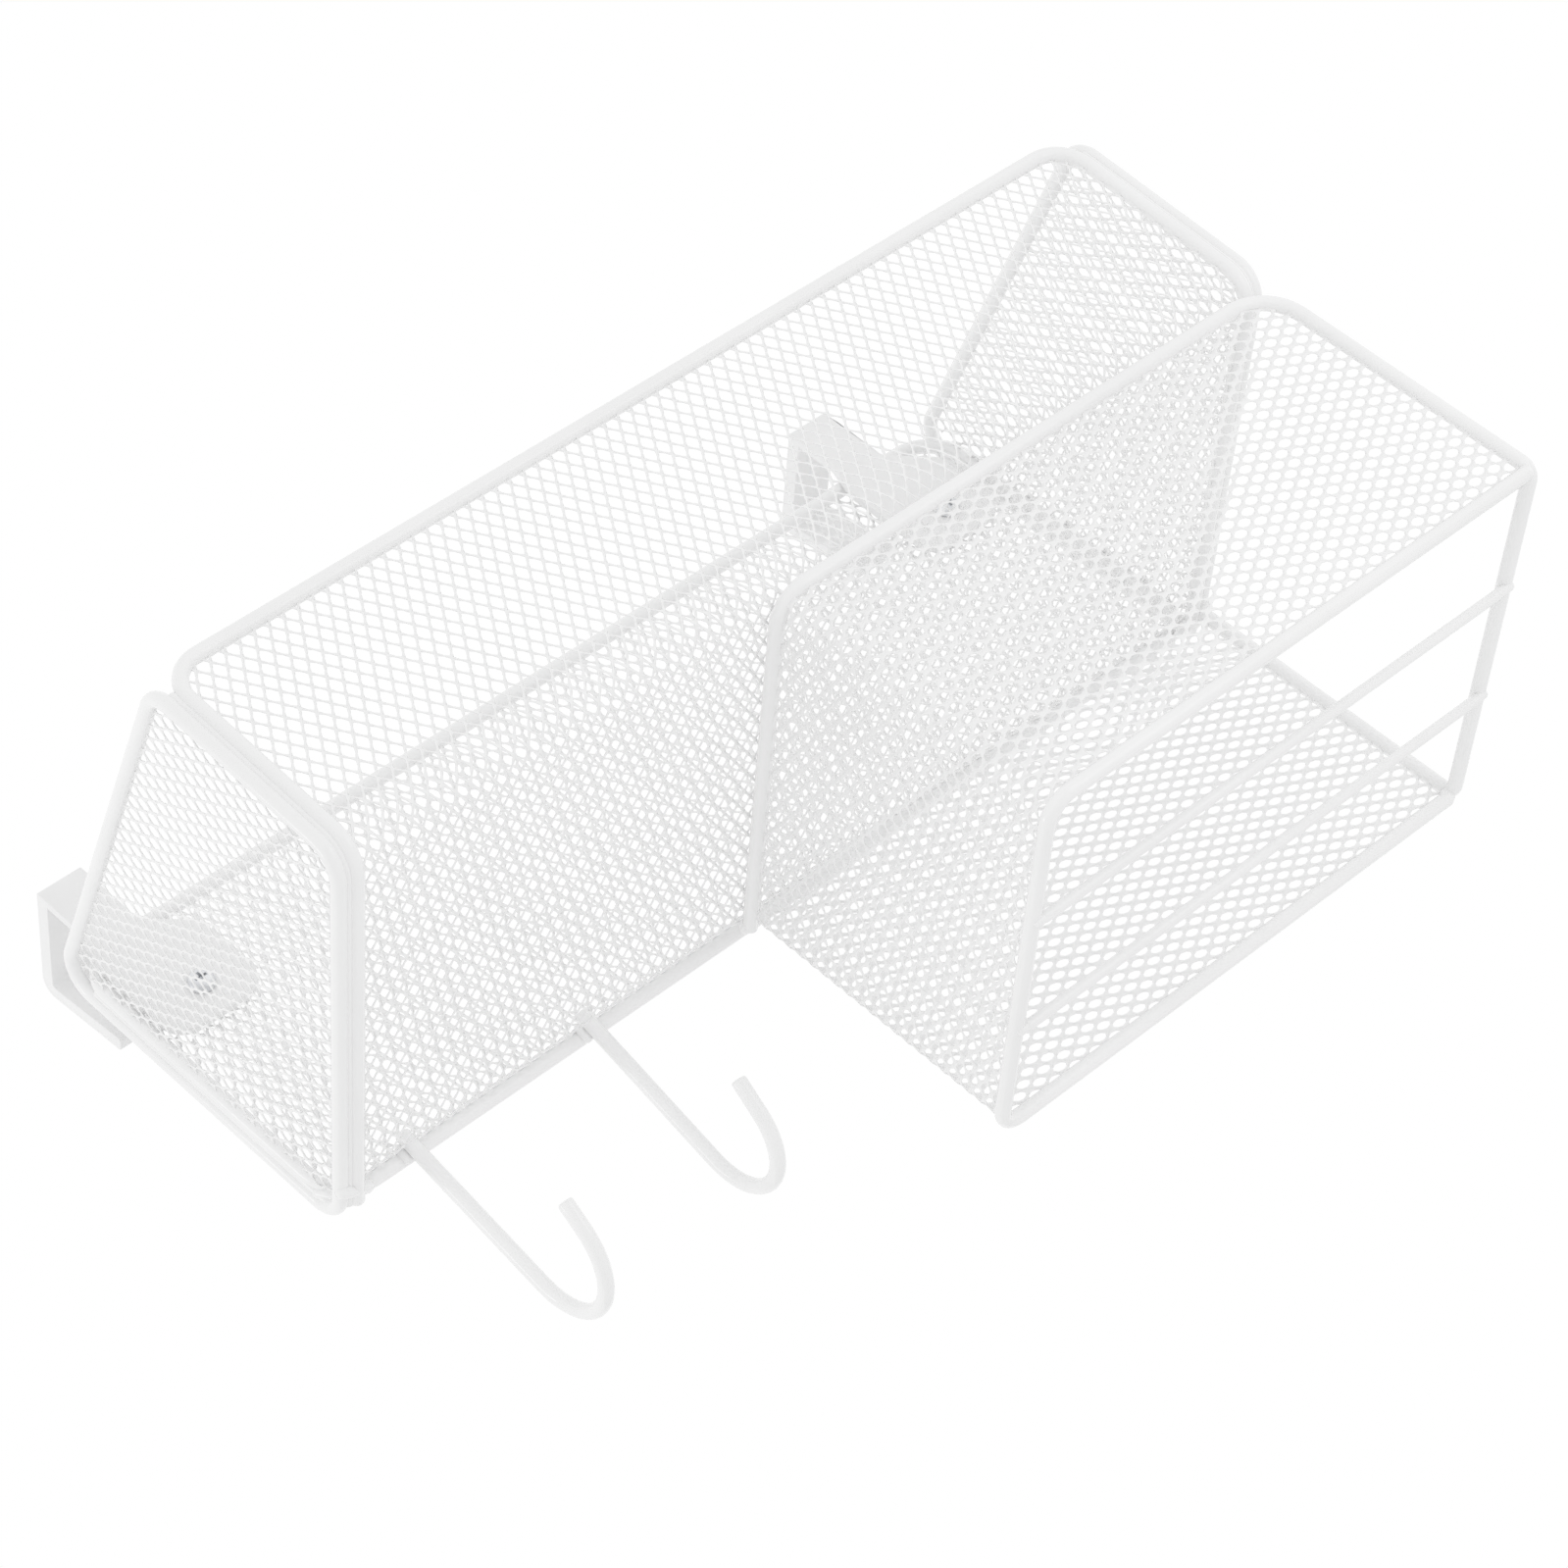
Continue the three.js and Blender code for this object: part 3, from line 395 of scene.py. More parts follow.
def dress(piece, material, crease, node=None):
    """Gives a piece its finish, lets it ride on the one body, and hides the CAD node it stands for."""
    piece.data.materials.clear()
    piece.data.materials.append(material)
    piece.data.shade_smooth()
    piece.data.set_sharp_from_angle(angle=crease)
    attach(piece, "root")
    if node:
        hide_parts(node)


def round_corners(corners, radii, closed, arc_step=ARC_STEP):
    """A route or outline with an arc at each corner, as far as its two sides leave room."""
    points = []
    count = len(corners)
    for i, corner in enumerate(corners):
        if radii[i] == 0 or (not closed and i in (0, count - 1)):
            points.append(corner.copy())
            continue
        before = corners[i - 1] - corner
        after = corners[(i + 1) % count] - corner
        half = before.angle(after) / 2
        radius = min(radii[i], min(before.length, after.length) / 2 * math.tan(half))
        centre = corner + (before.normalized() + after.normalized()).normalized() * (radius / math.sin(half))
        start = corner + before.normalized() * (radius / math.tan(half)) - centre
        end = corner + after.normalized() * (radius / math.tan(half)) - centre
        turn = math.pi - 2 * half
        steps = max(2, math.ceil(turn / arc_step))
        for step in range(steps + 1):
            angle = turn * step / steps
            points.append(centre + (start * math.sin(turn - angle) + end * math.sin(angle)) / math.sin(turn))
    return points


def uniform(corners, radius, closed):
    """A route or outline with the same arc at each corner."""
    return round_corners(corners, [radius] * len(corners), closed)


def route_tangents(route, closed=False):
    """Direction of a route at each of its points."""
    count = len(route)
    tangents = []
    for i, point in enumerate(route):
        before = route[i - 1] if closed or i > 0 else point
        after = route[(i + 1) % count] if closed or i < count - 1 else point
        tangents.append(((point - before).normalized() + (after - point).normalized()).normalized())
    return tangents


def carried_normals(tangents):
    """A normal for each tangent, carried along so that the rings don't twist."""
    first = tangents[0]
    normals = [Vector((first.y, first.z, first.x)).cross(first).normalized()]
    for before, here in zip(tangents, tangents[1:]):
        normals.append(before.rotation_difference(here) @ normals[-1])
    return normals


def end_rings(ring, edge, outwards):
    """Rings from a wire's tip to its last ring, which round the end over."""
    centre, tangent, side, radius = ring
    return [(centre + tangent * (outwards * edge * math.sin(angle)), tangent, side,
             radius - edge + edge * math.cos(angle)) for angle in END_RING_ANGLES]


def ring_faces(rings, sides, closed, twist=0):
    """Faces between rings of points, each with so many sides, and over both ends unless they close.

    The last ring of a closed row meets the first one turned by twist sides.
    """
    faces = []
    for i in range(rings if closed else rings - 1):
        here, there = i * sides, (i + 1) % rings * sides
        shift = twist if i == rings - 1 else 0
        for k in range(sides):
            m = (k + 1) % sides
            across = there + (m + shift) % sides, there + (k + shift) % sides
            faces.append((here + k, here + m, *across))
    if not closed:
        faces.append(tuple(reversed(range(sides))))
        faces.append(tuple(range((rings - 1) * sides, rings * sides)))
    return faces


def tube(route, diameter, closed=False, end_edge=WIRE_END_EDGE):
    """(points, faces) of a round wire along a route, its open ends rounded over by end_edge."""
    tangents = route_tangents(route, closed)
    normals = carried_normals(tangents)
    rings = [(*ring, diameter / 2) for ring in zip(route, tangents, normals)]
    twist = 0
    if closed:
        carried = tangents[-1].rotation_difference(tangents[0]) @ normals[-1]
        lag = math.atan2(carried.dot(tangents[0].cross(normals[0])), carried.dot(normals[0]))
        twist = round(lag / (2 * math.pi) * WIRE_SIDES)
    else:
        rings = end_rings(rings[0], end_edge, -1) + rings + end_rings(rings[-1], end_edge, 1)[::-1]
    points = []
    for centre, tangent, side, radius in rings:
        other = tangent.cross(side)
        for k in range(WIRE_SIDES):
            angle = 2 * math.pi * k / WIRE_SIDES
            points.append(centre + (side * math.cos(angle) + other * math.sin(angle)) * radius)
    return points, ring_faces(len(rings), WIRE_SIDES, closed, twist)


def add_wire(name, route, diameter=WIRE_DIAMETER, closed=False):
    """Painted wire that stands for the CAD node of its name."""
    piece = mesh_object(name + "_tube", *tube(route, diameter, closed))
    dress(piece, POWDER_COAT, WIRE_CREASE, name)


def front_panel_y(z):
    """Y of the front mesh and its wire at a height."""
    return FRONT_FOOT.x + (z - FRONT_FOOT.y) * FRONT_UP.x / FRONT_UP.y


def slope_height(y):
    """Height of the side frames' sloping top."""
    return FRONT_HEIGHT + (BACK_HEIGHT - FRONT_HEIGHT) * (y + FRONT_LEAN) / (BASKET_DEPTH + FRONT_LEAN)


def rectangle(left, right, bottom, top):
    """Corners anticlockwise from the lower left one."""
    return [Vector((left, bottom)), Vector((right, bottom)), Vector((right, top)), Vector((left, top))]


def side_frame(name, x):
    """Closed loop whose front leans forwards and whose top slopes."""
    corners = [(x, 0, 0), (x, BASKET_DEPTH, 0), (x, BASKET_DEPTH, BACK_HEIGHT),
               (x, -FRONT_LEAN, FRONT_HEIGHT)]
    add_wire(name, uniform([Vector(c) for c in corners], SIDE_BEND_RADIUS, True), closed=True)


def front_frame_wire():
    """Along the front rim, down both front corners and back under the basket."""
    rim_z = FRONT_HEIGHT + FRONT_RIM_RISE
    foot_z = -FRONT_WIRE_PROUD
    left, right = FRONT_WIRE_INSET, FRONT_WIRE_RIGHT
    corners = [
        (left, FRONT_WIRE_END_Y, foot_z), (left, front_panel_y(foot_z), foot_z),
        (left, front_panel_y(rim_z), rim_z), (right, front_panel_y(rim_z), rim_z),
        (right, front_panel_y(foot_z), foot_z), (right, FRONT_WIRE_END_Y, foot_z),
    ]
    fold = SIDE_BEND_RADIUS + FRONT_WIRE_PROUD
    radii = [0, fold, FRONT_RIM_BEND_RADIUS, FRONT_RIM_BEND_RADIUS, fold, 0]
    add_wire("front_frame_wire", round_corners([Vector(c) for c in corners], radii, False))


def back_frame():
    """Closed loop round the back mesh."""
    corners = rectangle(BACK_FRAME_INSET, BASKET_LENGTH - BACK_FRAME_INSET, BACK_FRAME_RISE, BACK_FRAME_TOP)
    route = uniform([Vector((c.x, BACK_FRAME_Y, c.y)) for c in corners], BACK_BEND_RADIUS, True)
    add_wire("back_frame", route, closed=True)


def hook_directions(lean):
    """Down a hook's leg, and across it to the back frame's wire."""
    return Vector((0, math.sin(lean), -math.cos(lean))), Vector((0, math.cos(lean), math.sin(lean)))


def towel_hook(name, hook):
    """Leg that leans against the back frame's bottom wire, with a curl and a straight tip."""
    down, to_wire = hook_directions(hook.lean)
    touch = Vector((hook.place, BACK_FRAME_Y, BACK_FRAME_RISE)) - to_wire * WIRE_SPACING
    centre = touch + down * hook.leg_length - to_wire * hook.curl_radius
    route = [touch - down * HOOK_TOP_RISE]
    steps = math.ceil(HOOK_CURL_ANGLE / ARC_STEP)
    for step in range(steps + 1):
        angle = HOOK_CURL_ANGLE * step / steps
        route.append(centre + (to_wire * math.cos(angle) + down * math.sin(angle)) * hook.curl_radius)
    onward = down * math.cos(HOOK_CURL_ANGLE) - to_wire * math.sin(HOOK_CURL_ANGLE)
    route.append(route[-1] + onward * hook.tip_length)
    add_wire(name, route)


def rim_wire():
    """From the back along the box's left and front, then down, back and up round its open right end."""
    left, right = LOWER_BOX_LEFT, LOWER_BOX_RIGHT
    front, back, bottom = LOWER_BOX_FRONT, LOWER_BOX_BACK, -LOWER_BOX_BOTTOM
    corners = [
        (left, back, RIM_Z), (left, front, RIM_Z), (right, front, RIM_Z), (right, front, bottom),
        (right, back, bottom), (right, back, RIM_RIGHT_END_Z),
    ]
    radii = [0, RIM_LEFT_BEND_RADIUS, RIM_RIGHT_BEND_RADIUS, RIM_FOOT_BEND_RADIUS, RIM_FOOT_BEND_RADIUS, 0]
    add_wire("lower_box_rim_wire", round_corners([Vector(c) for c in corners], radii, False))


def end_wire():
    """Round the bottom of the lower box, open at its right end."""
    left, right = LOWER_BOX_LEFT, LOWER_BOX_RIGHT - WIRE_SEAT
    front, back, bottom = LOWER_BOX_FRONT, LOWER_BOX_BACK, -LOWER_BOX_BOTTOM
    corners = [(right, front, bottom), (left, front, bottom), (left, back, bottom), (right, back, bottom)]
    add_wire("lower_box_end_wire", uniform([Vector(c) for c in corners], END_WIRE_BEND_RADIUS, False))


def bar_ends(bays):
    """Ends of the bar behind a number of bays, counted from the front."""
    y = LOWER_BOX_FRONT + (LOWER_BOX_BACK - LOWER_BOX_FRONT) * bays / BOTTOM_BAYS
    z = -LOWER_BOX_BOTTOM - BAR_DROP
    return Vector((LOWER_BOX_LEFT + WIRE_SEAT, y, z)), Vector((LOWER_BOX_RIGHT - WIRE_SEAT, y, z))


side_frame("left_side_frame", 0)
side_frame("right_side_frame", BASKET_LENGTH)
front_frame_wire()
back_frame()
for hook_name, hook_sizes in HOOKS.items():
    towel_hook(hook_name, hook_sizes)
rim_wire()
end_wire()
add_wire("lower_box_front_bar", bar_ends(1), BAR_DIAMETER)
add_wire("lower_box_rear_bar", bar_ends(2), BAR_DIAMETER)


def inset(outline, distance):
    """Each side of a convex anticlockwise outline moved inwards."""
    result = []
    count = len(outline)
    for i, corner in enumerate(outline):
        into = (corner - outline[i - 1]).normalized()
        out = (outline[(i + 1) % count] - corner).normalized()
        turn = into.x * out.y - into.y * out.x
        result.append(corner + (out - into) * (distance / turn))
    return result


def opening_curve(long_way, short_way, pointedness):
    """Points of an opening about its centre: pointedness 1 is an ellipse and 2 a diamond."""
    points = []
    for k in range(OPENING_POINTS):
        angle = 2 * math.pi * k / OPENING_POINTS
        c, s = math.cos(angle), math.sin(angle)
        along = math.copysign(abs(c) ** pointedness, c) * long_way / 2
        across = math.copysign(abs(s) ** pointedness, s) * short_way / 2
        points.append((along, across))
    return points


def cell_border(long_way, short_way):
    """Points of a cell's diamond, one for each point of its opening."""
    corners = [(long_way / 2, 0), (0, short_way / 2), (-long_way / 2, 0), (0, -short_way / 2)]
    points = []
    for k in range(OPENING_POINTS):
        quarter, share = divmod(4 * k / OPENING_POINTS, 1)
        a, b = corners[int(quarter) % 4], corners[(int(quarter) + 1) % 4]
        points.append((a[0] + (b[0] - a[0]) * share, a[1] + (b[1] - a[1]) * share))
    return points


def cell_strands(weave, tilt_side):
    """(points, faces) of the strands round one cell, from its centre and with its long way along x.

    Across that way the strands lean, to the side that tilt_side gives.
    """
    inner = np.array(opening_curve(*weave.opening, weave.pointedness))
    border = np.array(cell_border(*weave.cell))
    tilt = -tilt_side * STRAND_TILT * inner[:, 1] / (weave.opening[1] / 2)
    crown = np.full(OPENING_POINTS, MESH_THICKNESS / 2)
    edge = crown - STRAND_ROUNDING
    rings = [
        np.column_stack([border, crown]),
        np.column_stack([inner, tilt + edge]),
        np.column_stack([inner, tilt - edge]),
        np.column_stack([border, -crown]),
    ]
    faces = []
    for ring in range(len(rings) - 1):
        here, there = ring * OPENING_POINTS, (ring + 1) * OPENING_POINTS
        for k in range(OPENING_POINTS):
            m = (k + 1) % OPENING_POINTS
            faces.append((here + k, here + m, there + m, there + k))
    return np.concatenate(rings), np.array(faces)


def cell_centres(outline, middle, cell):
    """Places, from the middle, of the staggered cells that cover an outline, with their long way along x."""
    long_way, short_way = cell
    columns = math.ceil(max(abs(p.y - middle.y) for p in outline) / long_way) + 1
    rows = math.ceil(max(abs(p.x - middle.x) for p in outline) / (short_way / 2)) + 1
    centres = []
    for row in range(-rows, rows + 1):
        shift = row % 2 * long_way / 2
        for column in range(-columns, columns + 1):
            centres.append((column * long_way + shift, row * short_way / 2, 0))
    return np.array(centres)


def cut_to(outline, points, faces):
    """(points, faces) of what lies inside a convex outline, closed where it is cut."""
    mesh = bpy.data.meshes.new("net")
    mesh.from_pydata(points, [], faces)
    net = bmesh.new()
    net.from_mesh(mesh)
    bpy.data.meshes.remove(mesh)
    for i, corner in enumerate(outline):
        side = (outline[(i + 1) % len(outline)] - corner).normalized()
        cut = bmesh.ops.bisect_plane(
            net, geom=net.verts[:] + net.edges[:] + net.faces[:], dist=NET_CUT_TOLERANCE,
            plane_co=(corner.x, corner.y, 0), plane_no=(side.y, -side.x, 0), clear_outer=True)
        edges = [item for item in cut["geom_cut"] if isinstance(item, bmesh.types.BMEdge)]
        bmesh.ops.holes_fill(net, edges=edges, sides=0)
    net.verts.index_update()
    kept_points = [v.co.copy() for v in net.verts]
    kept_faces = [tuple(v.index for v in f.verts) for f in net.faces]
    net.free()
    return kept_points, kept_faces


def strand_net(outline, middle, weave, tilt_side):
    """(points, faces) of flat expanded metal that fills an outline: x and y in its plane, z through it.

    One cell lies on the middle, and the cells' long way runs along y.
    """
    strands, quads = cell_strands(weave, tilt_side)
    centres = cell_centres(outline, middle, weave.cell)
    points = (strands[None] + centres[:, None]).reshape(-1, 3)
    points = points[:, [1, 0, 2]] * (1, 1, -1) + (middle.x, middle.y, 0)
    shifts = np.arange(len(centres)) * len(strands)
    faces = (quads[None] + shifts[:, None, None]).reshape(-1, 4)
    rounded = np.round(points, NET_MERGE_DIGITS)
    _, first, back = np.unique(rounded, axis=0, return_index=True, return_inverse=True)
    faces = back.reshape(-1)[faces]
    return cut_to(outline, points[first].tolist(), faces.tolist())


def joined(shapes):
    """One (points, faces) from several."""
    points, faces = [], []
    for some_points, some_faces in shapes:
        shift = len(points)
        points += some_points
        faces += [tuple(v + shift for v in face) for face in some_faces]
    return points, faces


def expanded_sheet(name, fields, weave, tilt_side, bend):
    """One sheet of expanded metal.

    fields are its parts, each an outline and its corner radii, and bend turns their flat places into the
    basket's.
    """
    first = fields[0][0]
    middle = (first[0] + first[2]) / 2
    nets = []
    for outline, radii in fields:
        field = round_corners([c.to_3d() for c in outline], radii, True, NET_ARC_STEP)
        nets.append(strand_net([p.to_2d() for p in field], middle, weave, tilt_side))
    points, faces = joined(nets)
    piece = mesh_object(name + "_net", [bend(p) for p in points], faces)
    dress(piece, POWDER_COAT, NET_CREASE, name)


def flat_bend(across, up, origin):
    """Puts a flat sheet's x across, its y up and its z through the sheet."""
    through = across.cross(up)
    return lambda p: origin + across * p.x + up * p.y + through * p.z


def fold_bend(line, radii, across):
    """Bends a strip whose y runs along a folded centre line and whose x runs straight across it.

    Gives back the bend and the line's length.
    """
    rounded = round_corners(line, radii, False)
    tangents = route_tangents(rounded)
    lengths = [0.0]
    for a, b in zip(rounded, rounded[1:]):
        lengths.append(lengths[-1] + (b - a).length)

    def bend(p):
        y = min(max(p.y, 0), lengths[-1])
        i = max(k for k, length in enumerate(lengths[:-1]) if length <= y)
        share = (y - lengths[i]) / (lengths[i + 1] - lengths[i])
        place = rounded[i].lerp(rounded[i + 1], share)
        tangent = tangents[i].lerp(tangents[i + 1], share).normalized()
        beyond = p.y - y
        return place + tangent * beyond + across * p.x + across.cross(tangent) * p.z

    return bend, lengths[-1]


def side_mesh(name, x):
    """Flat mesh in a side frame."""
    corners = [
        Vector((0, 0)), Vector((BACK_FRAME_Y, 0)),
        Vector((BACK_FRAME_Y, slope_height(BACK_FRAME_Y))), Vector((-FRONT_LEAN, FRONT_HEIGHT)),
    ]
    outline = inset(corners, NET_INSET)
    radii = [SIDE_BEND_RADIUS - NET_INSET] * 4
    expanded_sheet(name, [(outline, radii)], SIDE_WEAVE, -1, flat_bend(Y_AXIS, Z_AXIS, X_AXIS * x))


def back_mesh():
    """Flat mesh in the back frame."""
    left = BACK_FRAME_INSET + NET_INSET
    low, high = BACK_FRAME_RISE + NET_INSET, BACK_FRAME_TOP - NET_INSET
    outline = rectangle(left, BASKET_LENGTH - left, low, high)
    radii = [BACK_BEND_RADIUS - NET_INSET] * 4
    bend = flat_bend(X_AXIS, Z_AXIS, Y_AXIS * BACK_FRAME_Y)
    expanded_sheet("back_mesh", [(outline, radii)], SIDE_WEAVE, 1, bend)


def front_bottom_mesh():
    """Front and bottom in one sheet, whose rear edge is notched for the hooks."""
    top_z = FRONT_HEIGHT + FRONT_RIM_RISE - NET_INSET
    foot_z = -FRONT_WIRE_PROUD
    rear_y = BACK_FRAME_Y - SHEET_LAP_SETBACK
    line = [Vector((0, rear_y, BACK_FRAME_RISE + SHEET_LAP_RISE)),
            Vector((0, rear_y - SHEET_RAMP_LENGTH, foot_z)), Vector((0, front_panel_y(foot_z), foot_z)),
            Vector((0, front_panel_y(top_z), top_z))]
    radii = [0, SHEET_RAMP_RADIUS, SIDE_BEND_RADIUS + FRONT_WIRE_PROUD, 0]
    bend, length = fold_bend(line, radii, X_AXIS)
    left, right = FRONT_WIRE_INSET + NET_INSET, FRONT_WIRE_RIGHT - NET_INSET
    corner = FRONT_RIM_BEND_RADIUS - NET_INSET
    fields = [(rectangle(left, right, NOTCH_DEPTH, length), [0, 0, corner, corner])]
    half = WIRE_RADIUS + NOTCH_CLEARANCE
    starts = [left] + [hook.place + half for hook in HOOKS.values()]
    ends = [hook.place - half for hook in HOOKS.values()] + [right]
    for start, end in zip(starts, ends):
        rear_corners = [SHEET_CORNER_RADIUS * (start == left), SHEET_CORNER_RADIUS * (end == right), 0, 0]
        fields.append((rectangle(start, end, 0, NOTCH_DEPTH), rear_corners))
    expanded_sheet("front_bottom_mesh", fields, FRONT_WEAVE, 1, bend)


def lower_box_mesh():
    """Front, left end and back in one strip. The back reaches up to the sheet above it."""
    foot_z = -LOWER_BOX_BOTTOM + NET_INSET
    top_z = RIM_Z - NET_INSET
    end_x = LOWER_BOX_RIGHT - NET_INSET
    line = [Vector((end_x, LOWER_BOX_FRONT, 0)), Vector((LOWER_BOX_LEFT, LOWER_BOX_FRONT, 0)),
            Vector((LOWER_BOX_LEFT, LOWER_BOX_BACK, 0)), Vector((end_x, LOWER_BOX_BACK, 0))]
    bend, length = fold_bend(line, [0, LOWER_FOLD_RADIUS, LOWER_FOLD_RADIUS, 0], Z_AXIS)
    back_start = length - (end_x - LOWER_BOX_LEFT - LOWER_FOLD_RADIUS)
    corner = RIM_RIGHT_BEND_RADIUS - NET_INSET
    front_and_end = rectangle(foot_z, top_z, 0, back_start)
    back = rectangle(foot_z, -FRONT_WIRE_PROUD, back_start, length)
    fields = [(front_and_end, [0, corner, 0, 0]), (back, [0, 0, 0, 0])]
    expanded_sheet("lower_box_mesh", fields, LOWER_WEAVE, 1, bend)


side_mesh("left_side_mesh", 0)
side_mesh("right_side_mesh", BASKET_LENGTH)
back_mesh()
front_bottom_mesh()
lower_box_mesh()


def bead(start, end, radius):
    """Weld bead with round ends."""
    return tube([Vector(start), Vector(end)], 2 * radius, end_edge=radius)


def bead_at(place, shape, mirror=(1, 1, 1)):
    """Bead whose ends are measured from a place, mirrored along the axes where mirror is -1."""
    start = [p + m * offset for p, m, offset in zip(place, mirror, shape.start)]
    end = [p + m * offset for p, m, offset in zip(place, mirror, shape.end)]
    return bead(start, end, shape.radius)


def side_welds(x, inward):
    """Seams that join one side frame to the front and back frames, and the beads at its corners."""
    drop = FRONT_WIRE_PROUD / 2
    top = FRONT_HEIGHT - SIDE_BEND_RADIUS

    def front_seam(z):
        """Point at a height, midway between the side frame's wire and the front frame's."""
        y = (front_panel_y(z) - FRONT_LEAN * z / FRONT_HEIGHT) / 2
        return Vector((x + FRONT_WIRE_INSET / 2 * inward, y, z))

    foot = front_seam(-drop)
    front_corners = [Vector((foot.x, FRONT_WIRE_END_Y, -drop)), foot, front_seam(top)]
    front_route = round_corners(front_corners, [0, SIDE_BEND_RADIUS + drop, 0], False)
    back_x, back_y = x + BACK_FRAME_INSET / 2 * inward, (BACK_FRAME_Y + BASKET_DEPTH) / 2
    heights = (SIDE_BEND_RADIUS / 2, BACK_HEIGHT - BACK_BEND_RADIUS)
    back_route = [Vector((back_x, back_y, z)) for z in heights]
    back_corner = (x + BACK_CORNER_BEAD_INSET * inward, BACK_FRAME_Y, BACK_CORNER_BEAD_RISE)
    return [
        tube(front_route, SEAM_WIDTH),
        tube(back_route, SEAM_WIDTH),
        bead(front_seam(top - SEAM_END_BELOW), front_seam(top + SEAM_END_ABOVE), SEAM_WIDTH / 2),
        bead_at((x, FRONT_WIRE_END_Y, 0), FRONT_WIRE_BEAD, (inward, 1, 1)),
        bead((back_x, back_y, SIDE_BEND_RADIUS), back_corner, BACK_CORNER_BEAD_RADIUS),
    ]


def hook_welds(hook):
    """A bead on each side of a hook's top, between it and the back frame's wire."""
    down, to_wire = hook_directions(hook.lean)
    contact = Vector((hook.place, BACK_FRAME_Y, BACK_FRAME_RISE)) - to_wire * (WIRE_SPACING / 2)
    shapes = []
    for side, radius in HOOK_BEADS:
        place = contact + X_AXIS * side
        shapes.append(bead(place - down * HOOK_BEAD_REACH, place + down * HOOK_BEAD_REACH, radius))
    return shapes


def lower_box_welds():
    """Beads at the ends of the lower box's two wires and two bars."""
    right, back = LOWER_BOX_RIGHT, LOWER_BOX_BACK
    rim_end = Vector((right, back, RIM_RIGHT_END_Z - RIM_RIGHT_BEAD_LAP))
    sheet = Vector((right - RIM_RIGHT_BEAD_SHIFT, back, RIM_RIGHT_BEAD_TOP))
    shapes = [
        bead_at((LOWER_BOX_LEFT, back, RIM_Z), RIM_LEFT_BEAD),
        bead(rim_end, sheet, RIM_RIGHT_BEAD_RADIUS),
    ]
    for y, towards in ((LOWER_BOX_FRONT, 1), (back, -1)):
        shapes.append(bead_at((right - WIRE_SEAT, y, -LOWER_BOX_BOTTOM), END_WIRE_BEAD, (1, towards, 1)))
    lap = X_AXIS * WIRE_SEAT
    for bays in range(1, BOTTOM_BAYS):
        start, end = bar_ends(bays)
        shapes += [bead(start, start - lap, BAR_BEAD_RADIUS), bead(end, end + lap, BAR_BEAD_RADIUS)]
    return shapes


def welds():
    """All seams and beads, in one piece that stands for no CAD node."""
    shapes = side_welds(0, 1) + side_welds(BASKET_LENGTH, -1) + lower_box_welds()
    for hook in HOOKS.values():
        shapes += hook_welds(hook)
    dress(mesh_object("welds", *joined(shapes)), POWDER_COAT, WIRE_CREASE)


welds()


def prism(name, outline, thickness, across, up, origin):
    """Flat outline, thickened both ways from its plane."""
    through = across.cross(up) * (thickness / 2)
    flat = [origin + across * p.x + up * p.y for p in outline]
    points = [p - through for p in flat] + [p + through for p in flat]
    return mesh_object(name, points, ring_faces(2, len(flat), False))


def turned(name, profile, x, z, sides=TURNED_SIDES, widest=None):
    """Profile of (radius, y) turned about a line along y; it may start and end on that line.

    widest, if given, is the largest radius at an angle, such as a hexagon's.
    """
    closed = profile[0][0] > 0
    rings = profile if closed else profile[1:-1]
    points = []
    for radius, y in rings:
        for k in range(sides):
            angle = 2 * math.pi * k / sides
            reach = min(radius, widest(angle)) if widest else radius
            points.append((x + reach * math.sin(angle), y, z + reach * math.cos(angle)))
    return mesh_object(name, points, ring_faces(len(rings), sides, closed))


def turned_bar(name, radius, start, end, x, z):
    """Solid round bar along y."""
    return turned(name, [(0, start), (radius, start), (radius, end), (0, end)], x, z)


def rounded_outline(corners, radii):
    """Flat outline with an arc at each corner."""
    return [p.to_2d() for p in round_corners([Vector(c).to_3d() for c in corners], radii, True)]


def screw_place(strip_left):
    """X and Z of the screw of a bracket whose strip starts at strip_left."""
    return strip_left + SCREW_PLACE, WEB_TOP_Z - SCREW_DROP


def plate_outline(strip_left):
    """Plate in X and Z, which widens below its strip by a sloping shoulder on each side."""
    strip_right = strip_left + STRIP_WIDTH
    left, right = strip_left - PLATE_LEFT_REACH, strip_right + PLATE_RIGHT_REACH
    top, foot = WEB_UNDERSIDE_Z + WEB_THICKNESS / 2, WEB_TOP_Z - PLATE_LENGTH
    corners = [
        (strip_left, top),
        (strip_left, WEB_TOP_Z - LEFT_SHOULDER.top), (left, WEB_TOP_Z - LEFT_SHOULDER.foot),
        (left, foot), (right, foot),
        (right, WEB_TOP_Z - RIGHT_SHOULDER.foot), (strip_right, WEB_TOP_Z - RIGHT_SHOULDER.top),
        (strip_right, top),
    ]
    shoulder = [SHOULDER_RADIUS] * 2
    return rounded_outline(corners, [0, *shoulder, PLATE_CORNER_RADIUS, PLATE_CORNER_RADIUS, *shoulder, 0])


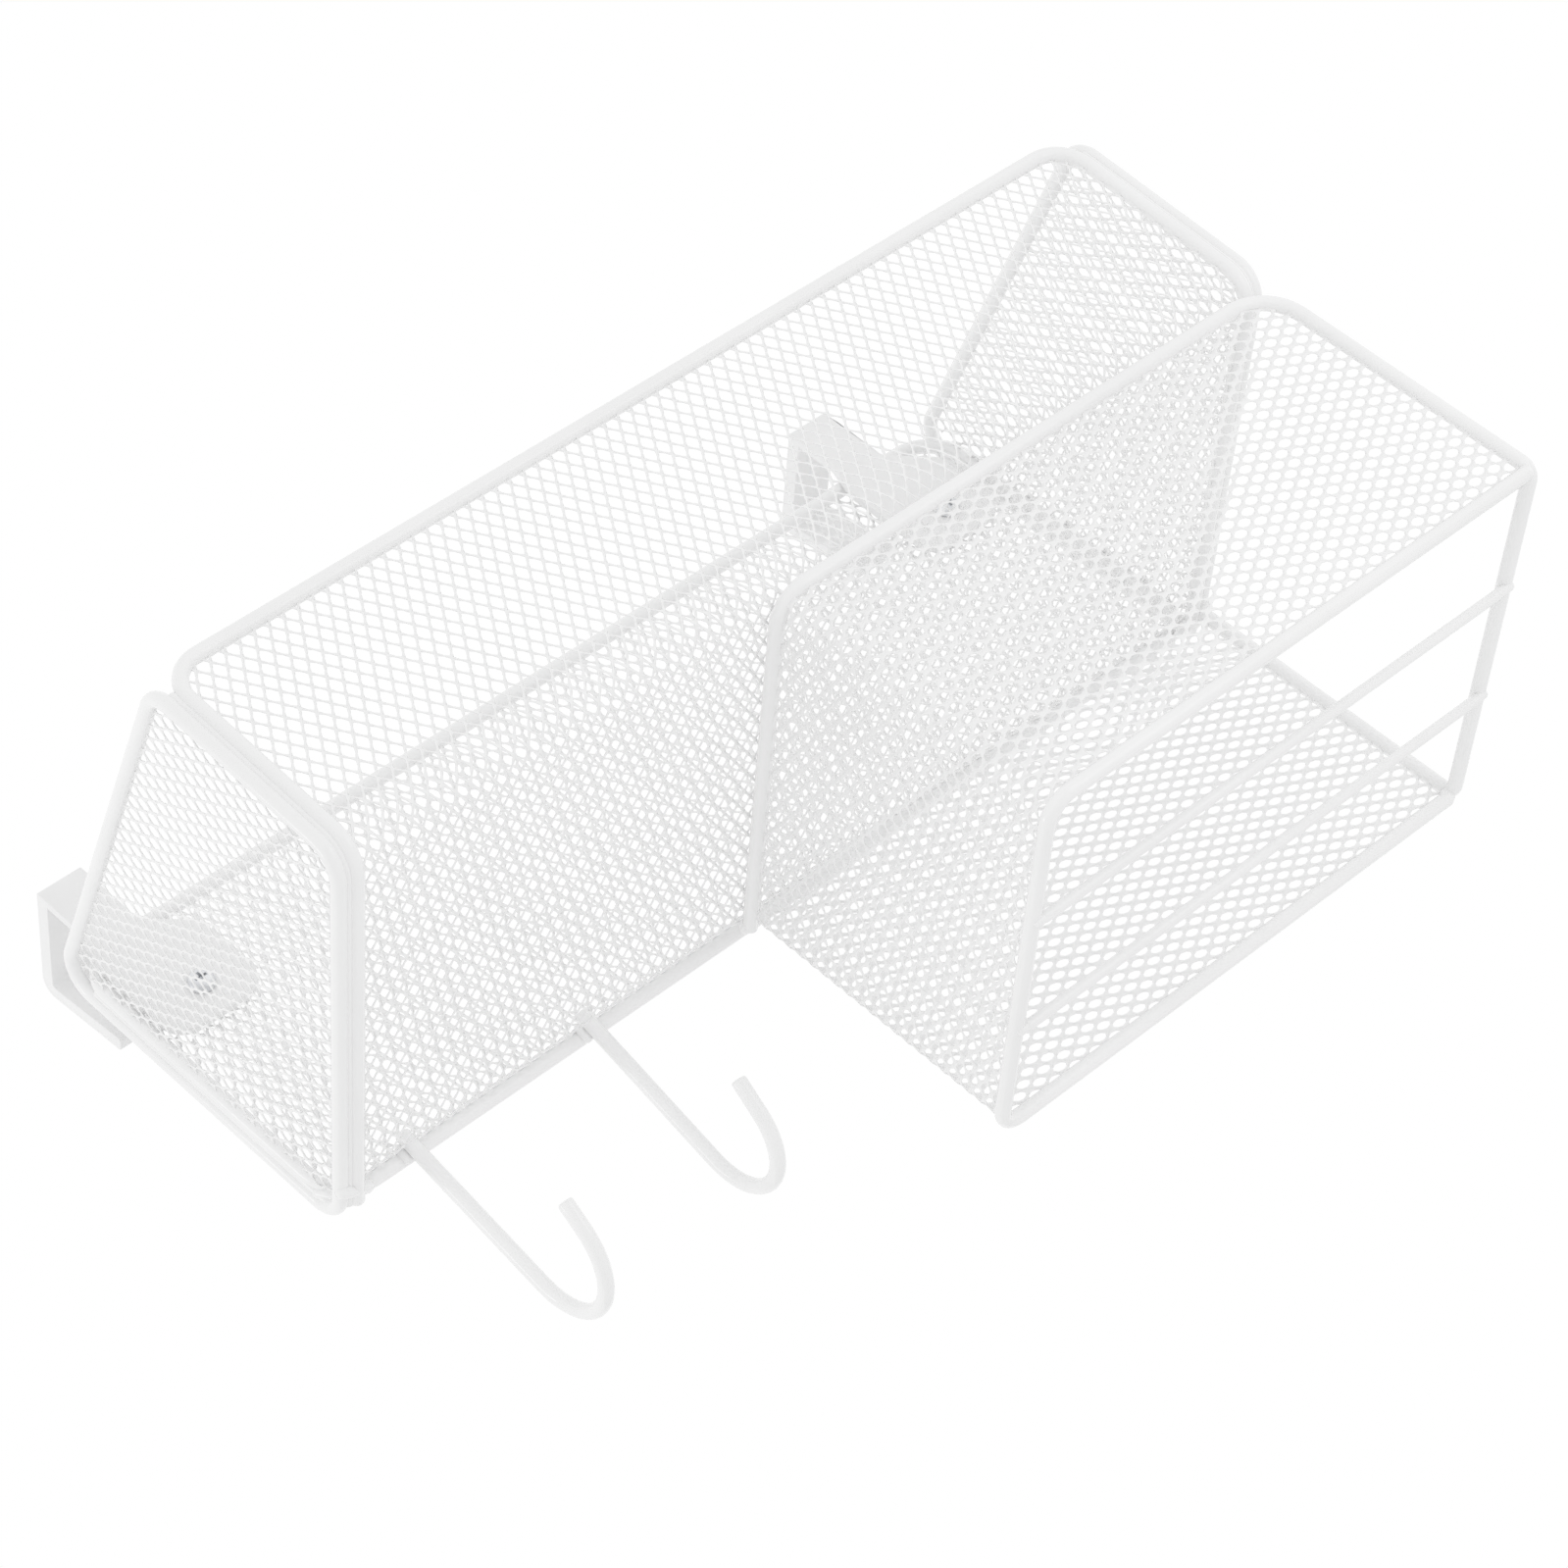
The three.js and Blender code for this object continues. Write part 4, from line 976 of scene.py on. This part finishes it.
def rail_hook_outline():
    """Web over the rail and flange behind it, in Y and Z."""
    outer = PLATE_FRONT_Y + BRACKET_DEPTH
    inner = outer - FLANGE_THICKNESS
    foot = WEB_TOP_Z - FLANGE_LENGTH
    corners = [
        (PLATE_FRONT_Y, WEB_UNDERSIDE_Z - WEB_INNER_RADIUS),
        (PLATE_REAR_Y, WEB_UNDERSIDE_Z - WEB_INNER_RADIUS), (PLATE_REAR_Y, WEB_UNDERSIDE_Z),
        (inner, WEB_UNDERSIDE_Z), (inner - FLANGE_LEAN, foot), (outer - FLANGE_LEAN, foot),
        (outer, WEB_TOP_Z), (PLATE_FRONT_Y, WEB_TOP_Z),
    ]
    radii = [0, 0, 0, WEB_INNER_RADIUS, FLANGE_TIP_RADIUS, FLANGE_TIP_RADIUS, WEB_BEND_RADIUS, 0]
    return rounded_outline(corners, radii)


def bracket(name, strip_left):
    """Plate with a narrow strip, a thicker web and flange that hook over the rail, and a bored boss."""
    middle_y = Vector((0, (PLATE_FRONT_Y + PLATE_REAR_Y) / 2, 0))
    outline = plate_outline(strip_left)
    piece = prism(name + "_moulding", outline, PLATE_THICKNESS, X_AXIS, Z_AXIS, middle_y)
    middle_x = Vector((strip_left + STRIP_WIDTH / 2, 0, 0))
    combine(piece, prism("hook", rail_hook_outline(), STRIP_WIDTH, Y_AXIS, Z_AXIS, middle_x), "UNION")
    x, z = screw_place(strip_left)
    start = PLATE_FRONT_Y + PLATE_THICKNESS / 2
    combine(piece, turned_bar("boss", BOSS_DIAMETER / 2, start, BOSS_END_Y, x, z), "UNION")
    soften_edges(piece, MOULDED_EDGE)
    bore = turned_bar("bore", SCREW_HOLE_RADIUS, start - BOSS_DIAMETER, start + BOSS_DIAMETER, x, z)
    combine(piece, bore, "DIFFERENCE")
    dress(piece, MOULDED_PLASTIC, MOULDED_CREASE, name)


def screw(name, strip_left):
    """Pan head with a cross recess, and a plain shank with a chamfered tail."""
    x, z = screw_place(strip_left)
    rear = PLATE_FRONT_Y - WELD_GAP
    front = rear - SCREW_HEAD_HEIGHT
    radius, shank = SCREW_HEAD_DIAMETER / 2, SCREW_DIAMETER / 2
    tail, chamfer = NUT_REAR_Y + SCREW_TAIL_LENGTH, 2 * TURNED_EDGE
    profile = [(0, front)]
    for step in range(1, PAN_STEPS + 1):
        angle = math.pi / 2 * step / PAN_STEPS
        height = (SCREW_HEAD_HEIGHT - TURNED_EDGE) * math.cos(angle) ** PAN_POINTEDNESS
        profile.append((radius * math.sin(angle) ** PAN_POINTEDNESS, rear - TURNED_EDGE - height))
    profile += [(radius, rear), (shank, rear), (shank, tail - chamfer), (shank - chamfer, tail), (0, tail)]
    piece = turned(name + "_turned", profile, x, z)
    half = RECESS_LENGTH / 2
    wedge = [Vector(p) for p in (
        (-half, -TURNED_EDGE), (half, -TURNED_EDGE), (half / 2, RECESS_DEPTH), (-half / 2, RECESS_DEPTH))]
    for across in (X_AXIS, Z_AXIS):
        recess = prism("recess", wedge, RECESS_WIDTH, across, Y_AXIS, Vector((x, front, z)))
        combine(piece, recess, "DIFFERENCE")
    dress(piece, ZINC_PLATE, TURNED_CREASE, name)


def washer(name, strip_left):
    """Flat washer behind the back mesh, chamfered round its rim."""
    x, z = screw_place(strip_left)
    hole, rim, edge = SCREW_HOLE_RADIUS, WASHER_DIAMETER / 2, TURNED_EDGE
    front, rear = WASHER_FRONT_Y, WASHER_REAR_Y
    profile = [(hole, front), (rim - edge, front), (rim, front + edge), (rim, rear - edge),
               (rim - edge, rear), (hole, rear)]
    dress(turned(name + "_ring", profile, x, z), ZINC_PLATE, TURNED_CREASE, name)


def nut(name, strip_left):
    """Hexagon nut with its corners chamfered on both faces."""
    x, z = screw_place(strip_left)
    flat = NUT_ACROSS_FLATS / 2
    half_side = math.pi / 6
    corner = flat / math.cos(half_side)

    def hexagon(angle):
        """Radius of the hexagon at an angle."""
        return flat / math.cos((angle + half_side) % (2 * half_side) - half_side)

    hole, slope = SCREW_DIAMETER / 2 + TURNED_EDGE / 2, (corner - flat) / 2
    front, rear = NUT_FRONT_Y, NUT_REAR_Y
    profile = [(hole, front), (flat, front), (corner, front + slope), (corner, rear - slope), (flat, rear),
               (hole, rear)]
    piece = turned(name + "_hexagon", profile, x, z, NUT_SIDES, hexagon)
    dress(piece, ZINC_PLATE, NUT_CREASE, name)


for bracket_side, bracket_place in (("left", LEFT_BRACKET_PLACE), ("right", RIGHT_BRACKET_PLACE)):
    bracket(bracket_side + "_bracket", bracket_place)
    screw(bracket_side + "_bracket_screw", bracket_place)
    washer(bracket_side + "_bracket_washer", bracket_place)
    nut(bracket_side + "_bracket_nut", bracket_place)


def area_light(name, place, width, height, watts):
    """Lamp that faces the basket's middle, from a place measured from there."""
    light = bpy.data.lights.new(name, "AREA")
    light.shape = "RECTANGLE"
    light.size = width
    light.size_y = height
    light.energy = watts
    lamp = bpy.data.objects.new(name, light)
    middle = (Vector(cad_box[0]) + Vector(cad_box[1])) / 2
    lamp.location = middle + Vector(place)
    lamp.rotation_euler = (middle - lamp.location).to_track_quat("-Z", "Y").to_euler()
    bpy.context.scene.collection.objects.link(lamp)


def seen_rays(nodes, links):
    """Socket that is 1 for rays by which something is seen, direct or mirrored, and 0 for light."""
    path = nodes.new("ShaderNodeLightPath")
    mirrored = nodes.new("ShaderNodeMath")
    mirrored.operation = "MAXIMUM"
    links.new(path.outputs["Is Glossy Ray"], mirrored.inputs[0])
    links.new(path.outputs["Is Transmission Ray"], mirrored.inputs[1])
    seen = nodes.new("ShaderNodeMath")
    seen.operation = "MAXIMUM"
    links.new(path.outputs["Is Camera Ray"], seen.inputs[0])
    links.new(mirrored.outputs[0], seen.inputs[1])
    return seen.outputs[0]


def white_world():
    """Plain even light, which is seen as white."""
    world = bpy.data.worlds.new("studio")
    world.use_nodes = True
    nodes, links = world.node_tree.nodes, world.node_tree.links
    nodes.clear()
    output = nodes.new("ShaderNodeOutputWorld")
    mix = nodes.new("ShaderNodeMixShader")
    links.new(seen_rays(nodes, links), mix.inputs["Fac"])
    for socket, strength in ((1, WORLD_LIGHT), (2, 1)):
        background = nodes.new("ShaderNodeBackground")
        background.inputs["Color"].default_value = (*grey(1), 1)
        background.inputs["Strength"].default_value = strength
        links.new(background.outputs[0], mix.inputs[socket])
    links.new(mix.outputs[0], output.inputs["Surface"])
    bpy.context.scene.world = world


def floor_paint():
    """Paint that lights the object as white paint does, and is seen as pale grey."""
    paint = bpy.data.materials.new("floor_paint")
    paint.use_nodes = True
    nodes, links = paint.node_tree.nodes, paint.node_tree.links
    shader = next(n for n in nodes if n.type == "BSDF_PRINCIPLED")
    tone = nodes.new("ShaderNodeMath")
    tone.operation = "MULTIPLY_ADD"
    links.new(seen_rays(nodes, links), tone.inputs[0])
    tone.inputs[1].default_value = FLOOR_SEEN - FLOOR_LIT
    tone.inputs[2].default_value = FLOOR_LIT
    links.new(tone.outputs[0], shader.inputs["Base Color"])
    shader.inputs["Roughness"].default_value = FLOOR_ROUGHNESS
    return paint


def floor():
    """Floor under the rail that the basket hangs on."""
    half, z = FLOOR_WIDTH / 2, -RAIL_HEIGHT
    mesh = bpy.data.meshes.new("floor")
    corners = [(-half, -half, z), (half, -half, z), (half, half, z), (-half, half, z)]
    mesh.from_pydata(corners, [], [(0, 1, 2, 3)])
    mesh.materials.append(floor_paint())
    ground = bpy.data.objects.new("floor", mesh)
    bpy.context.scene.collection.objects.link(ground)


def camera():
    """Camera of the photograph."""
    data = bpy.data.cameras.new("camera")
    data.sensor_width = SENSOR_WIDTH
    data.lens = FOCAL_LENGTH_PIXELS / PHOTO_WIDTH_PIXELS * SENSOR_WIDTH
    data.clip_start = CAMERA_NEAR
    data.clip_end = CAMERA_FAR
    seen_from = bpy.data.objects.new("camera", data)
    basis = Matrix((CAMERA_RIGHT, CAMERA_UP, -CAMERA_VIEW)).transposed().to_4x4()
    seen_from.matrix_world = Matrix.Translation(to_row(CAMERA_PLACE)) @ basis
    bpy.context.scene.collection.objects.link(seen_from)
    bpy.context.scene.camera = seen_from


area_light("key", **KEY_LAMP)
area_light("strip", **STRIP_LAMP)
white_world()
floor()
camera()
bpy.context.scene.view_settings.view_transform = "Standard"
